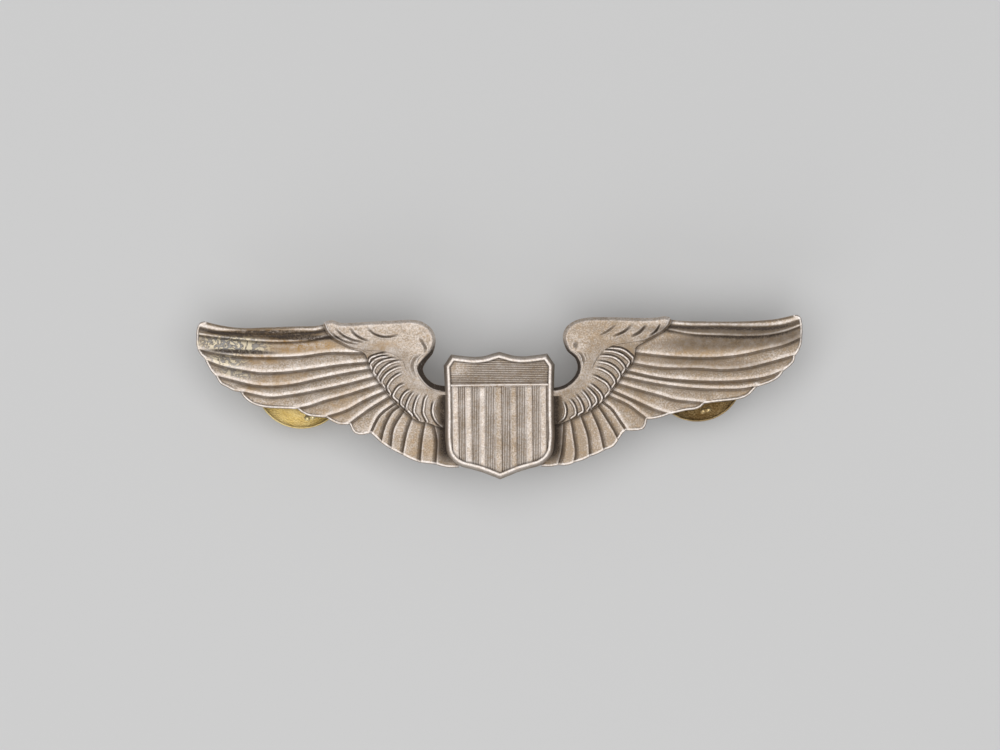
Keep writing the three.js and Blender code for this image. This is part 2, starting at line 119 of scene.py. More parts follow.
# Stations from the arm's tip round the wrist and notch to the shield: a point of the
# leading edge, one of the neck's lower edge and one of the coverts' tips.
STATIONS = {
    "left": [
        ((21.60, 9.90), (21.85, 9.72), (22.00, 9.50)),
        ((20.80, 10.00), (21.50, 8.75), (21.65, 8.65)),
        ((20.00, 9.72), (20.90, 8.00), (21.05, 7.90)),
        ((18.60, 9.65), (19.50, 7.12), (19.60, 7.00)),
        ((16.80, 9.75), (18.20, 6.50), (18.30, 6.35)),
        ((14.80, 9.83), (16.40, 6.15), (17.00, 5.95)),
        ((12.90, 9.90), (14.50, 6.00), (16.45, 5.20)),
        ((11.00, 9.95), (13.20, 5.60), (16.25, 4.20)),
        ((9.50, 9.65), (12.50, 5.10), (15.60, 3.00)),
        ((8.40, 8.75), (12.00, 4.50), (14.90, 2.00)),
        ((7.97, 7.60), (11.80, 3.90), (14.20, 1.05)),
        ((8.30, 5.80), (11.60, 3.30), (13.30, -0.05)),
        ((9.10, 4.75), (11.20, 2.50), (12.30, -1.10)),
        ((9.58, 3.80), (10.80, 1.70), (11.25, -2.05)),
        ((9.30, 2.95), (10.20, 1.15), (10.20, -2.70)),
        ((8.50, 2.10), (9.20, 0.85), (9.00, -2.95)),
        ((7.50, 1.72), (8.00, 0.60), (7.50, -3.50)),
        ((5.40, 1.60), (5.40, 0.40), (5.40, -3.70)),
    ],
    "right": [
        ((21.35, 9.98), (21.50, 9.82), (21.62, 9.64)),
        ((20.70, 10.10), (21.20, 9.10), (21.40, 9.02)),
        ((20.00, 9.98), (20.70, 8.52), (20.86, 8.42)),
        ((18.60, 9.90), (19.40, 7.72), (19.50, 7.58)),
        ((16.80, 9.93), (17.90, 7.05), (18.00, 6.80)),
        ((14.80, 10.02), (15.90, 6.75), (17.10, 6.20)),
        ((12.90, 10.05), (14.30, 6.45), (16.95, 5.20)),
        ((11.00, 10.00), (13.20, 5.85), (16.55, 4.15)),
        ((9.50, 9.62), (12.60, 5.20), (15.90, 3.30)),
        ((8.40, 8.75), (12.10, 4.50), (15.05, 2.20)),
        ((8.03, 7.50), (11.85, 3.95), (14.20, 1.05)),
        ((8.55, 5.90), (11.60, 3.40), (13.40, 0.10)),
        ((9.50, 5.00), (11.30, 2.85), (12.40, -0.90)),
        ((9.85, 3.90), (10.90, 2.20), (11.30, -1.65)),
        ((9.60, 2.95), (10.30, 1.35), (10.10, -2.20)),
        ((8.70, 1.95), (9.30, 0.70), (8.90, -2.65)),
        ((7.60, 1.40), (8.00, 0.30), (7.50, -3.20)),
        ((5.40, 1.25), (5.40, 0.20), (5.40, -3.50)),
    ],
}
# The lines between the long feathers, from the leading edge round to the shield: each
# from its root to its tip, and then the outline's points on to the next line's tip.
FEATHERS = {
    "left": [
        ([(22.0, 9.5), (22.6, 9.36), (25, 9.3), (29, 9.2), (32, 9.15), (34, 9.35),
          (35.5, 9.65), (36.9, 10.03)], [(37.4, 9.9), (37.7, 9.55)]),
        ([(21.7, 8.75), (23, 8.45), (25, 8.3), (28, 8.15), (31, 8.2), (33, 8.3), (35, 8.55),
          (36.5, 8.85), (37.85, 9.2)], [(37.93, 8.8)]),
        ([(21.2, 7.8), (24, 7.4), (27, 7.25), (30, 7.35), (33, 7.65), (36, 8.0), (37.95, 8.3)],
         [(37.95, 7.2)]),
        ([(16.9, 5.7), (18.5, 5.8), (21, 5.85), (25, 5.4), (28, 5.3), (32, 5.4), (34.5, 5.7),
          (37.78, 6.4)], [(37.4, 5.8), (37.0, 5.4)]),
        ([(16.5, 4.6), (20, 4.3), (24, 3.75), (28, 3.4), (30, 3.4), (32, 3.7), (34.5, 4.2),
          (36.85, 5.05)], [(36.4, 4.2), (36.0, 3.6)]),
        ([(16.2, 3.7), (20, 3.1), (23, 2.5), (26, 1.9), (29, 1.7), (31, 1.9), (33, 2.4),
          (35.55, 3.08)], [(35.3, 2.6), (34.9, 2.1), (34.3, 1.8), (33.4, 1.3)]),
        ([(15.7, 2.65), (20, 1.7), (23, 1.1), (26, 0.6), (29, 0.35), (31, 0.75), (32.5, 1.1)],
         [(32.2, 0.6), (31.6, 0.0), (30.8, -0.5), (29.5, -0.85), (27.5, -1.0)]),
        ([(15.0, 1.75), (17.5, 1.05), (20, 0.3), (22, -0.2), (24, -0.85), (25.4, -1.1)],
         [(24.8, -1.55), (24.0, -1.95), (23.0, -2.1)]),
        ([(14.4, 0.85), (17, -0.2), (19, -1.3), (21.8, -2.2)],
         [(20.9, -2.75), (20.2, -3.05), (19.4, -3.1)]),
        ([(13.9, 0.15), (16.5, -1.4), (18.85, -3.1)],
         [(18.6, -3.7), (18.2, -4.2), (17.4, -4.4)]),
        ([(13.0, -0.5), (15.0, -2.0), (16.2, -4.2)], [(15.6, -4.75)]),
        ([(12.6, -0.9), (13.3, -1.4), (14.2, -2.8), (15.0, -5.35)], [(14.3, -5.85)]),
        ([(12.0, -1.4), (13.3, -3.5), (13.75, -6.2)], [(13.0, -6.6)]),
        ([(11.0, -2.2), (11.6, -3.8), (12.3, -6.95)], [(11.5, -7.4)]),
        ([(9.4, -2.9), (9.8, -5.0), (10.1, -7.95)], [(9.0, -8.1)]),
        ([(8.3, -3.1), (8.0, -4.5), (8.1, -8.2)], [(7.5, -8.4), (6.5, -8.6)]),
        ([(5.4, -3.7), (5.3, -6.0), (5.2, -8.6)], []),
    ],
    "right": [
        ([(21.62, 9.64), (23, 9.5), (26, 9.4), (30, 9.35), (33, 9.45), (35, 9.65),
          (36.3, 9.92), (37.2, 10.12)], [(37.65, 10.0), (37.9, 9.75)]),
        ([(21.3, 8.85), (24, 8.62), (28, 8.55), (31, 8.45), (34, 8.47), (36, 8.75),
          (38.0, 9.35)], [(38.06, 9.0)]),
        ([(20.9, 8.2), (24, 7.75), (28, 7.5), (31, 7.4), (34, 7.55), (36, 7.95), (38.08, 8.7)],
         [(38.08, 8.0)]),
        ([(17.3, 5.45), (22, 4.9), (27, 4.75), (30, 5.0), (33, 5.6), (36, 6.3), (38.05, 7.2)],
         [(37.95, 6.5), (37.7, 5.8), (37.4, 5.3)]),
        ([(17.0, 3.95), (20, 3.6), (25, 3.4), (28, 3.2), (31, 3.4), (34, 4.1), (37.15, 4.95)],
         [(37.05, 4.4), (36.6, 3.8), (36.1, 3.4)]),
        ([(16.3, 2.9), (20, 2.3), (24, 1.9), (28, 1.75), (31, 1.9), (34, 2.4), (35.7, 3.08)],
         [(35.4, 2.65), (34.9, 2.15), (34.2, 1.75), (33.3, 1.4)]),
        ([(15.7, 2.2), (20, 1.5), (24, 0.95), (28, 0.75), (31, 0.85), (32.35, 1.13)],
         [(31.9, 0.7), (31.3, 0.1), (30.5, -0.3), (29.5, -0.5), (27.5, -0.7)]),
        ([(15.2, 1.3), (18, 0.65), (20, 0.1), (22, -0.5), (24, -0.75), (25.7, -0.92)],
         [(25.3, -1.3), (24.7, -1.6), (23.5, -1.75), (22.3, -2.0)]),
        ([(14.7, 0.3), (17.8, -0.9), (19.5, -1.7), (21.25, -2.25)], [(20.5, -2.5), (19.5, -2.75)]),
        ([(14.1, -0.3), (16.5, -1.3), (17.5, -2.1), (18.5, -2.85)],
         [(18.35, -3.5), (18.0, -4.0), (17.2, -4.2)]),
        ([(13.1, -0.8), (14.0, -1.5), (15.0, -2.9), (15.85, -4.2)], [(15.45, -4.5), (15.2, -4.85)]),
        ([(12.6, -1.3), (13.2, -2.3), (14.0, -3.6), (14.9, -5.3)], [(14.6, -5.8), (14.2, -6.2)]),
        ([(11.6, -1.75), (12.5, -4.0), (13.1, -6.65)], [(12.2, -7.1)]),
        ([(10.3, -2.4), (11.1, -5.0), (11.3, -7.4)], [(10.5, -7.8)]),
        ([(9.0, -2.8), (9.3, -5.0), (9.5, -7.0), (9.3, -8.15)], [(8.7, -8.42), (8.0, -8.5)]),
        ([(8.1, -3.1), (7.9, -5.5), (7.7, -7.0), (7.3, -8.45)], [(6.5, -8.6)]),
        ([(5.4, -3.5), (5.3, -6.0), (5.2, -8.6)], []),
    ],
}
# The raised rims of the coverts, from the neck to the tip.
COVERT_RIMS = {
    "left": [
        [(13.9, 5.9), (15.3, 5.7), (16.3, 5.2), (16.45, 4.75)],
        [(13.6, 5.5), (15, 5.4), (15.9, 4.9), (16.25, 4.4), (16.1, 3.8)],
        [(12.6, 5.2), (13.7, 5.2), (15.0, 4.75), (15.6, 4.2), (15.85, 3.4), (15.5, 2.9)],
        [(12.0, 4.9), (12.9, 4.85), (14.1, 4.35), (14.9, 3.6), (15.35, 2.6), (15.0, 2.0)],
        [(12.0, 4.3), (13.3, 3.9), (14.3, 3.2), (14.85, 2.1), (14.4, 1.4)],
        [(12.0, 3.55), (13.0, 3.05), (13.8, 2.3), (14.15, 1.5), (13.8, 0.75)],
        [(11.7, 2.1), (12.6, 1.75), (13.2, 1.05), (13.45, 0.4), (12.8, -0.35)],
        [(11.0, 1.4), (11.8, 0.95), (12.35, 0.2), (12.5, -0.5), (11.9, -1.25)],
        [(10.6, 1.2), (11.2, 0.5), (11.65, -0.4), (11.8, -1.1), (11.1, -2.0)],
        [(9.95, 0.9), (10.4, 0.2), (10.75, -0.8), (10.85, -1.5), (10.2, -2.6)],
        [(8.95, 0.8), (9.4, 0.1), (9.6, -0.8), (9.68, -1.7), (9.2, -2.8)],
        [(8.15, 0.1), (8.45, -0.8), (8.5, -1.8), (7.9, -3.0), (7.3, -3.5)],
    ],
    "right": [
        [(13.2, 6.2), (14.2, 6.3), (15.5, 6.1), (16.4, 5.5), (16.95, 4.8), (16.75, 4.3)],
        [(12.6, 5.9), (13.5, 5.95), (14.6, 5.8), (15.8, 5.2), (16.45, 4.4), (16.1, 3.7)],
        [(12.2, 5.3), (13.2, 5.35), (14.7, 5.0), (15.5, 4.3), (15.85, 3.6), (15.5, 2.95)],
        [(12.0, 4.65), (12.6, 4.6), (13.8, 4.3), (14.8, 3.6), (15.25, 2.7), (14.9, 2.0)],
        [(11.8, 3.85), (12.4, 3.8), (13.3, 3.45), (14.15, 2.8), (14.6, 1.9), (14.1, 1.0)],
        [(11.4, 2.95), (11.9, 2.8), (12.7, 2.4), (13.6, 1.75), (13.95, 0.95), (13.4, 0.1)],
        [(11.2, 1.95), (12.2, 1.2), (12.8, 0.5), (13.0, -0.1), (12.7, -0.8)],
        [(10.8, 1.6), (11.6, 0.8), (12.2, 0.0), (12.3, -0.5), (11.6, -1.4)],
        [(10.2, 1.2), (10.9, 0.4), (11.4, -0.5), (11.5, -1.1), (11.1, -1.65)],
        [(9.4, 0.65), (10.1, -0.2), (10.5, -1.1), (10.55, -1.75), (10.0, -2.15)],
        [(8.75, 0.05), (9.35, -0.7), (9.65, -1.6), (9.6, -2.2), (9.1, -2.6)],
        [(7.9, -0.2), (8.3, -1.0), (8.4, -1.8), (8.2, -2.5), (7.5, -3.1)],
    ],
}


def ease(share):
    """0 up to 0, 1 from 1 on, and the smooth step 3s^2 - 2s^3 between."""
    share = np.clip(share, 0, 1)
    return share * share * (3 - 2 * share)


def fall(offset, wide):
    """1 up to offset 0, falling smoothly to 0 at wide."""
    return 1 - ease(offset / wide)


def bump(offset, half_wide):
    """1 at offset 0, falling smoothly to 0 at half_wide on both sides."""
    return fall(np.abs(offset), half_wide)


def plateau(offset, half_wide, soft):
    """1 within half_wide of offset 0, falling smoothly to 0 over the next soft."""
    return fall(np.abs(offset) - half_wide, soft)


def chord_knots(*lines):
    """Shares of the way along, from the mean length of the lines' chords."""
    chords = sum(np.linalg.norm(np.diff(np.array(line), axis=0), axis=1) for line in lines)
    knots = np.concatenate([[0], np.cumsum(chords)])
    return knots / knots[-1]


def smooth_line(points, share, knots=None):
    """Places at the given shares of a smooth line through points. Each span is the
    cubic with the span's end points and, as end slopes, central differences."""
    points = np.array(points, float)
    knots = chord_knots(points) if knots is None else knots
    slopes = np.gradient(points, knots, axis=0)
    span = np.clip(np.searchsorted(knots, share, side="right") - 1, 0, len(knots) - 2)
    reach = (knots[span + 1] - knots[span])[..., None]
    s = (share - knots[span])[..., None] / reach
    ends = (1 + 2 * s) * (1 - s) ** 2 * points[span] + s * s * (3 - 2 * s) * points[span + 1]
    pull = s * (1 - s) ** 2 * slopes[span] - s * s * (1 - s) * slopes[span + 1]
    return ends + reach * pull


def nearest(points, line):
    """For each point: distance to a line of short straight pieces, the share of the
    line where its nearest place is, and 1 or -1 for the line's left or right side."""
    start, along = line[:-1], np.diff(line, axis=0)
    from_start = points[..., None, :] - start
    share = np.clip((from_start * along).sum(-1) / (along**2).sum(-1), 0, 1)
    off = from_start - share[..., None] * along
    distance = np.linalg.norm(off, axis=-1)
    piece = distance.argmin(-1)
    pick = piece[..., None]
    off = np.take_along_axis(off, pick[..., None], -2)[..., 0, :]
    way = (piece + np.take_along_axis(share, pick, -1)[..., 0]) / len(along)
    turn = along[piece][..., 0] * off[..., 1] - along[piece][..., 1] * off[..., 0]
    return np.take_along_axis(distance, pick, -1)[..., 0], way, np.where(turn < 0, -1, 1)


def sampled(points, count=40):
    """Places spread evenly over the shares of a smooth line through points."""
    return smooth_line(points, np.linspace(0, 1, count))


ARM_ROWS = 50
COVERT_ROWS = 60
FEATHER_ROWS = 72
NEAR_ROOT = np.array([0, 0.04, 0.08, 0.12, 0.17, 0.24, 0.34])  # rows this far from the coverts
# and rows this far from the tips
NEAR_TIP = np.array([0.6, 0.48, 0.38, 0.3, 0.23, 0.17, 0.12, 0.08, 0.04, 0])
COLUMNS = [14, 14, 56, 32, 28, 26, 26, 26, 22, 26, 20, 22, 24, 26, 26, 32]  # to each feather
COVERT_LINE_STEPS = 1500


def fan_columns(roots):
    """The wing's columns, crowded towards the lines between its feathers: each one's
    share across its band, its place along the coverts' line, and its band's number."""
    across, place, bands = [], [], []
    for band, count in enumerate(COLUMNS):
        even = np.linspace(0, 1, count + 1)[min(band, 1):]
        w = even - 0.5 * np.sin(2 * np.pi * even) / (2 * np.pi)
        across.append(w)
        place.append(roots[band] + w * (roots[band + 1] - roots[band]))
        bands.append(np.full(len(w), band))
    return map(np.concatenate, (across, place, bands))


def feather_rows(span):
    """Each row's share of the way out, for columns of the given spans. Rows crowd
    towards the coverts and the tips, and are even between."""
    inner = NEAR_ROOT[:, None] / span
    outer = 1 - NEAR_TIP[:, None] / span
    middle = np.linspace(0, 1, FEATHER_ROWS)[1:-1, None]
    return np.concatenate([inner, inner[-1] + middle * (outer[0] - inner[-1]), outer])


def feather_places(side, borders, across, bands, tips, t):
    """A place in a feather is the mean of its two border lines, weighted by the share w
    across, plus (1-t)^4 of the coverts' departure and t^5 of the tip's departure from a
    straight line between those borders, t being the share of the way out."""
    feather = np.empty((*t.shape, 2))
    for band, (_, tip_points) in enumerate(FEATHERS[side][:-1]):
        cols = bands == band
        w, tc = across[cols][:, None], t[:, cols]
        above, below = borders[band:band + 2]
        upper, lower = smooth_line(above, tc), smooth_line(below, tc)
        tip = smooth_line([above[-1], *tip_points, below[-1]], across[cols])
        root_gap = tips[cols] - (1 - w) * above[0] - w * np.array(below[0])
        tip_gap = tip - (1 - w) * above[-1] - w * np.array(below[-1])
        tc = tc[..., None]
        feather[:, cols] = ((1 - w) * upper + w * lower
                            + (1 - tc) ** 4 * root_gap + tc**5 * tip_gap)
    return feather


def wing_plan(side):
    """The wing's grid in plan. Columns run from the leading edge over the arm and the
    coverts and out along the feathers; each band of columns is one feather."""
    stations = np.array(STATIONS[side])
    knots = chord_knots(stations[:, 0], stations[:, 2])
    fine = np.linspace(0, 1, COVERT_LINE_STEPS)
    covert_line = smooth_line(stations[:, 2], fine, knots)
    lines = [points for points, _ in FEATHERS[side]]
    roots = [fine[np.linalg.norm(covert_line - line[0], axis=1).argmin()] for line in lines]
    across, place, bands = fan_columns(roots)
    lead, neck, tips = (smooth_line(stations[:, k], place, knots) for k in range(3))
    arm = lead + np.linspace(0, 1, ARM_ROWS, endpoint=False)[:, None, None] * (neck - lead)
    covert = neck + np.linspace(0, 1, COVERT_ROWS, endpoint=False)[:, None, None] * (tips - neck)

    borders = [[smooth_line(stations[:, 2], np.array([root]), knots)[0], *line[1:]]
               for root, line in zip(roots, lines)]
    spans = np.array([np.linalg.norm(np.diff(border, axis=0), axis=1).sum() for border in borders])
    span = spans[bands] + across * (spans[bands + 1] - spans[bands])
    t = feather_rows(span)
    return {"arm": arm, "covert": covert, "t": t, "bands": bands, "span": span,
            "feather": feather_places(side, borders, across, bands, tips, t), "borders": borders,
            "station": np.interp(place, knots, np.arange(len(knots)))}


# Short cuts in the arm, and creases, each a line with its half width and depth.
ARM_CUTS = {
    "left": [
        ([(16.5, 9.1), (15.8, 8.4), (14.7, 7.92), (13.5, 7.9), (12.7, 8.1)], 0.17, 0.24),
        ([(18.6, 9.0), (18.1, 8.3), (17.2, 7.7), (16.3, 7.35)], 0.17, 0.22),
        ([(20.4, 8.9), (19.5, 8.1), (18.5, 7.6), (17.0, 7.2)], 0.16, 0.22),
        ([(21.0, 8.5), (20.0, 7.7), (18.8, 7.2), (17.5, 6.9)], 0.13, 0.16),
        ([(9.9, 7.7), (9.5, 7.0), (9.2, 6.4), (9.3, 5.9)], 0.2, 0.14),
        ([(9.9, 5.6), (10.5, 5.2), (10.85, 4.6), (10.9, 3.9), (10.5, 2.7)], 0.2, 0.1),
    ],
    "right": [
        ([(14.7, 9.1), (13.7, 8.35), (12.6, 7.75)], 0.14, 0.12),
        ([(16.7, 9.1), (15.8, 8.3), (14.4, 7.65)], 0.18, 0.22),
        ([(18.4, 9.0), (17.7, 8.2), (16.6, 7.6)], 0.2, 0.32),
        ([(20.2, 9.1), (19.7, 8.3), (18.9, 7.65)], 0.16, 0.3),
        ([(9.75, 7.0), (9.6, 6.6), (9.65, 6.2)], 0.3, 0.12),
        ([(10.1, 5.7), (10.5, 5.0), (10.7, 4.3)], 0.2, 0.12),
    ],
}
NOTCH_RIB = {
    "left": [(9.2, 5.8), (10.0, 5.3), (10.4, 4.5), (10.3, 3.5), (9.8, 2.6), (8.9, 1.6),
             (8.2, 1.2), (7.2, 1.0)],
    "right": [(9.4, 5.85), (10.1, 5.35), (10.35, 4.7), (10.5, 4.0)],
}
NOTCH_WALL = {"left": 0.8, "right": 0.4}  # how wide the sloping side of the notch is
NOTCH_STATIONS = (9.9, 11.2)  # the notch's sloping side begins between these stations
ARM_ENDS = (3.2, 5.0)  # and the arm's own lower edge dies out between these
NOTCH_DIP = 0.12
EDGE_ROUNDING = 0.3  # how far the arm's edge rounds down, and the notch's wall by more
WALL_DROP = 0.55
LIP_OFF, LIP_HALF, LIP_HIGH = 0.12, 0.14, 0.1  # the bead along the arm's lower edge
CUT_BANK = 1.4  # a cut's raised bank lies this many half widths from its middle
DEEP_CUT = 0.2  # a cut this deep is fully dark


def on_the_arm(plan):
    """1 at the arm's tip, falling to 0 where its own lower edge dies out."""
    first, last = ARM_ENDS
    return fall(plan["station"] - first, last - first)


def tapered(way, power, margin=0.03):
    """A cut's strength along its line: the sine of its way, to a power below 1."""
    return np.sin(np.pi * np.clip(way, margin, 1 - margin)) ** power


def arm_relief(side, plan):
    """Height and masks of the arm and neck: a flat dome that rounds off at the leading
    edge and steeply at the notch, less each cut's rounded trough."""
    points = plan["arm"]
    edge, _, _ = nearest(points, points[0, ::3])
    neck, _, _ = nearest(points, plan["covert"][0, ::3])
    first, last = NOTCH_STATIONS
    notch = ease((plan["station"] - first) / (last - first))
    wall = 0.5 + notch * (NOTCH_WALL[side] - 0.5)
    drop = (EDGE_ROUNDING + WALL_DROP * notch) * fall(edge, wall) ** 1.5
    height = ARM_Z - NOTCH_DIP * notch - drop
    on_arm = on_the_arm(plan)
    height = height - 0.1 * on_arm * bump(neck, 0.7)
    height = height + LIP_HIGH * on_arm * bump(neck - LIP_OFF, LIP_HALF)
    height = height - (1 - on_arm) * 0.3 * fall(neck, 2.5)
    # A band just inside the arm's leading edge is painted paler as a highlight; the bead along the
    # lower edge is worn bright.
    wear = 0.36 + 0.5 * on_arm * bump(neck - LIP_OFF, 0.16) + 0.35 * bump(edge - 0.3, 0.45)
    # Painted shade with tarnish: a dark line along the leading edge, widening into a dark band down
    # the notch's sloping wall.
    dark_wide = wall * notch
    grime = (0.25 + 1.1 * notch) * fall(edge - 0.65 * dark_wide, 0.12 + 0.3 * dark_wide)
    grime = grime + 0.2 * ease((9 - points[..., 1]) / 3) * ease(1 - neck / 1.8)
    for line, half, deep in ARM_CUTS[side]:
        off, way, _ = nearest(points, sampled(line))
        taper = tapered(way, 0.6)
        bank = taper * bump(off - CUT_BANK * half, 0.8 * half)
        height = height - deep * taper * bump(off, half * (0.4 + 0.6 * taper)) + 0.05 * bank
        grime = np.maximum(grime, min(1, deep / DEEP_CUT) * taper * bump(off, half))
        wear = wear + 0.25 * bank
    off, way, _ = nearest(points, sampled(NOTCH_RIB[side]))
    rib = bump(off, 0.16) * tapered(way, 0.5, margin=0.02)
    return height + 0.1 * rib, wear + 0.6 * rib, grime * (1 - rib)


RIM_OFF, RIM_HIGH = 0.15, 0.1  # a covert's rim, to the right of its line
BARBS = ((0.46, 1.0), (0.68, 0.7))  # fine lines inside the rim: distance and strength
BARB_HALF, BARB_HIGH = 0.1, 0.035
# Beside the shield the wing is sunk and painted dark as shade with dirt: in this hollow, and nearer
# the middle than GAP_EDGE.
RECESS = ((7.2, -0.1), (7.45, -1.4), (7.3, -2.8))  # the dark hollow beside the shield
GAP_EDGE = 6.7  # nearer than this to the middle, the wing dips beside the shield's flank


def covert_relief(side, plan):
    """Height and masks of the coverts: a slope from the neck to the tips, with a rim of wire-like
    section along each line and a sharp crevice on the rim's left side. The crevices and the dip
    beside the shield are painted dark as shade."""
    points = plan["covert"]
    down = np.linspace(0, 1, COVERT_ROWS, endpoint=False)[:, None]
    neck_z = ARM_Z - NOTCH_DIP - EDGE_ROUNDING
    height = (1 - ease(down)) * (neck_z - COVERT_Z) + COVERT_Z
    height = height + on_the_arm(plan) * (0.25 * fall(down, 1 / 1.2) - 0.1)
    wear = 0.08 + 0.25 * (1 - down) + 0 * height
    grime = 0.12 + 0 * height
    for line in COVERT_RIMS[side]:
        off, way, left = nearest(points, sampled(line))
        signed = off * left
        fade = ease(way / 0.25)
        rim = fade * plateau(signed + RIM_OFF, 0.08, 0.06)
        barbs = fade * sum(share * bump(signed + off, BARB_HALF) for off, share in BARBS)
        crevice = 0.15 * bump(signed - 0.04, 0.14) + 0.05 * bump(signed + 0.32, 0.1)
        height = height + RIM_HIGH * rim + BARB_HIGH * barbs - fade * crevice
        wear = wear + 1.1 * rim + 0.3 * barbs
        # Painted shade: the crevice beside each rim, and the small groove past it, are painted dark.
        dark = 0.9 * bump(signed - 0.08, 0.16) + 0.35 * bump(signed + 0.33, 0.1)
        grime = grime * (1 - rim) + fade * dark
    # Painted shade with dirt in the hollow and the gap beside the shield.
    dip = bump(nearest(points, np.array(RECESS))[0], 0.8)
    gap = fall(points[..., 0] - GAP_EDGE, 0.9)
    low = ease((1 - points[..., 1]) / 2)
    grime = np.maximum(grime, 1.1 * gap + 0.6 * dip)
    return height - 0.4 * dip - 0.7 * gap * low, wear * (1 - dip), grime


def upper_bead(upper, lower):
    """The leading edge's round bead: height, wear, and the dark of tarnish and painted shade in its
    grooves, from the distances to the lines above and below it. It falls off softly above and steeply
    below."""
    height = -0.22 * fall(upper, 0.28) - 0.42 * fall(lower - 0.08, 0.24)
    return height, bump(lower - 0.5, 0.34), 0.5 * bump(upper, 0.1) + 1.2 * fall(lower - 0.05, 0.22)


def lower_bead(upper, lower):
    """The thin bead below it: a hollow that climbs to a fine ridge by the lower line."""
    hollow = fall(upper, np.maximum(upper + lower - 0.3, 0.1))
    height = -0.14 - 0.28 * hollow - 0.28 * fall(lower, 0.16)
    return height, 1.1 * bump(lower - 0.26, 0.18), 1.2 * fall(upper, 0.34) + fall(lower, 0.16)


def long_feather(upper, lower):
    """A slope that climbs across the feather to a ridge beside its lower line, with a
    narrow groove at both lines."""
    rise = np.clip(upper / np.maximum(upper + lower - 0.55, 0.2), 0, 1)
    height = -0.34 * (1 - rise) ** 1.3 - 0.08 * fall(upper, 0.15) - 0.42 * fall(lower - 0.03, 0.2)
    ridge = ease((lower - 0.12) / 0.1) * fall(lower - 0.38, 0.3)
    grime = 0.8 * fall(lower - 0.02, 0.14) + 0.6 * fall(upper, 0.45)
    return height, 0.05 + 0.25 * rise + 0.6 * ridge, grime


def short_feather(upper, lower):
    """The same the other way up: the ridge is beside the upper line."""
    height = (-0.26 * fall(lower, 0.5) - 0.16 * fall(lower, 0.14) - 0.42 * fall(upper, 0.14)
              + 0.05 * bump(upper - 0.22, 0.2))
    ridge = ease((upper - 0.06) / 0.08) * fall(upper - 0.22, 0.3)
    return height, 0.02 + 0.6 * ridge, 0.9 * fall(upper, 0.12) + 0.65 * fall(lower, 0.4)


BAND_SHAPES = [upper_bead, lower_bead] + 8 * [long_feather] + 6 * [short_feather]
CRISP = {"left": 0.8, "right": 0.66}  # how much of the feathers' cutting hasn't worn away
PLAIN_WEAR = 0.3
# The rim along the tips is worn and also painted paler as a highlight.
TIP_RIM_OFF, TIP_RIM_HALF, TIP_RIM_SOFT = 0.19, 0.07, 0.1  # the worn rim along the tips
COVERT_STEP = 0.17  # how far the feathers take to drop from under the coverts


def feather_relief(side, plan):
    """Height and masks of the feathers. Each band has its own section, which is softened by wear. A
    bright rim follows the tips, worn and painted paler as a highlight, and the outline's edge is
    painted dark as shade. The roots step up to the coverts, with painted shade at the step's foot,
    and beside the shield the feathers dip and are painted dark with shade and dirt."""
    points, t, bands = plan["feather"], plan["t"], plan["bands"]
    crisp = CRISP[side]
    height, wear, grime, edge = (np.empty(t.shape) for _ in range(4))
    for band, shape in enumerate(BAND_SHAPES):
        cols = bands == band
        here = points[:, cols]
        upper, lower = (nearest(here, sampled(border, 90))[0]
                        for border in plan["borders"][band:band + 2])
        near = (bands >= band - 1) & (bands <= band + 1)
        edge[:, cols] = nearest(here, points[-1, near])[0]
        # Each band's shape gives its relief, its worn ridges, and grooves painted dark with tarnish
        # and shade.
        relief, bright, dark = shape(upper, lower)
        depth = (0.25 + 0.75 * crisp) * (0.75 + 0.25 * ease(t[:, cols] / 0.3))
        height[:, cols] = depth * relief
        wear[:, cols] = PLAIN_WEAR + crisp * (bright - PLAIN_WEAR)
        grime[:, cols] = crisp * dark
    climb = 0.12 * ease((points[..., 1] + 2) / 9)
    rim = plateau(edge - TIP_RIM_OFF, TIP_RIM_HALF, TIP_RIM_SOFT)
    height = height * (1 - 0.7 * rim) + FEATHER_Z - 0.12 + climb + 0.03 * rim
    height = height - 0.3 * fall(edge, 0.11)
    # The rim along the tips is painted paler as a highlight over its wear, and the outline's very
    # edge is painted dark as shade.
    wear = np.maximum(wear, 1.25 * rim)
    grime = grime * (1 - rim) + 0.3 * fall(edge, 0.06)
    step = t * plan["span"] / COVERT_STEP
    height = height + (1 - ease(step)) * (COVERT_Z - height)
    # Painted shade at the foot of the step down from the coverts.
    grime = np.maximum(grime, 0.75 * fall(step, 4) * ease(step))
    # Beside the shield the feathers dip and are painted dark, as shade with dirt.
    gap = fall(points[..., 0] - GAP_EDGE, 1.6) * ease((points[..., 1] + 8.6) / 2.5)
    return height - 0.8 * gap, wear, grime + 1.3 * (1 - rim) * gap


RUBBED = {"left": 0.06, "right": -0.09}  # wear all over each wing
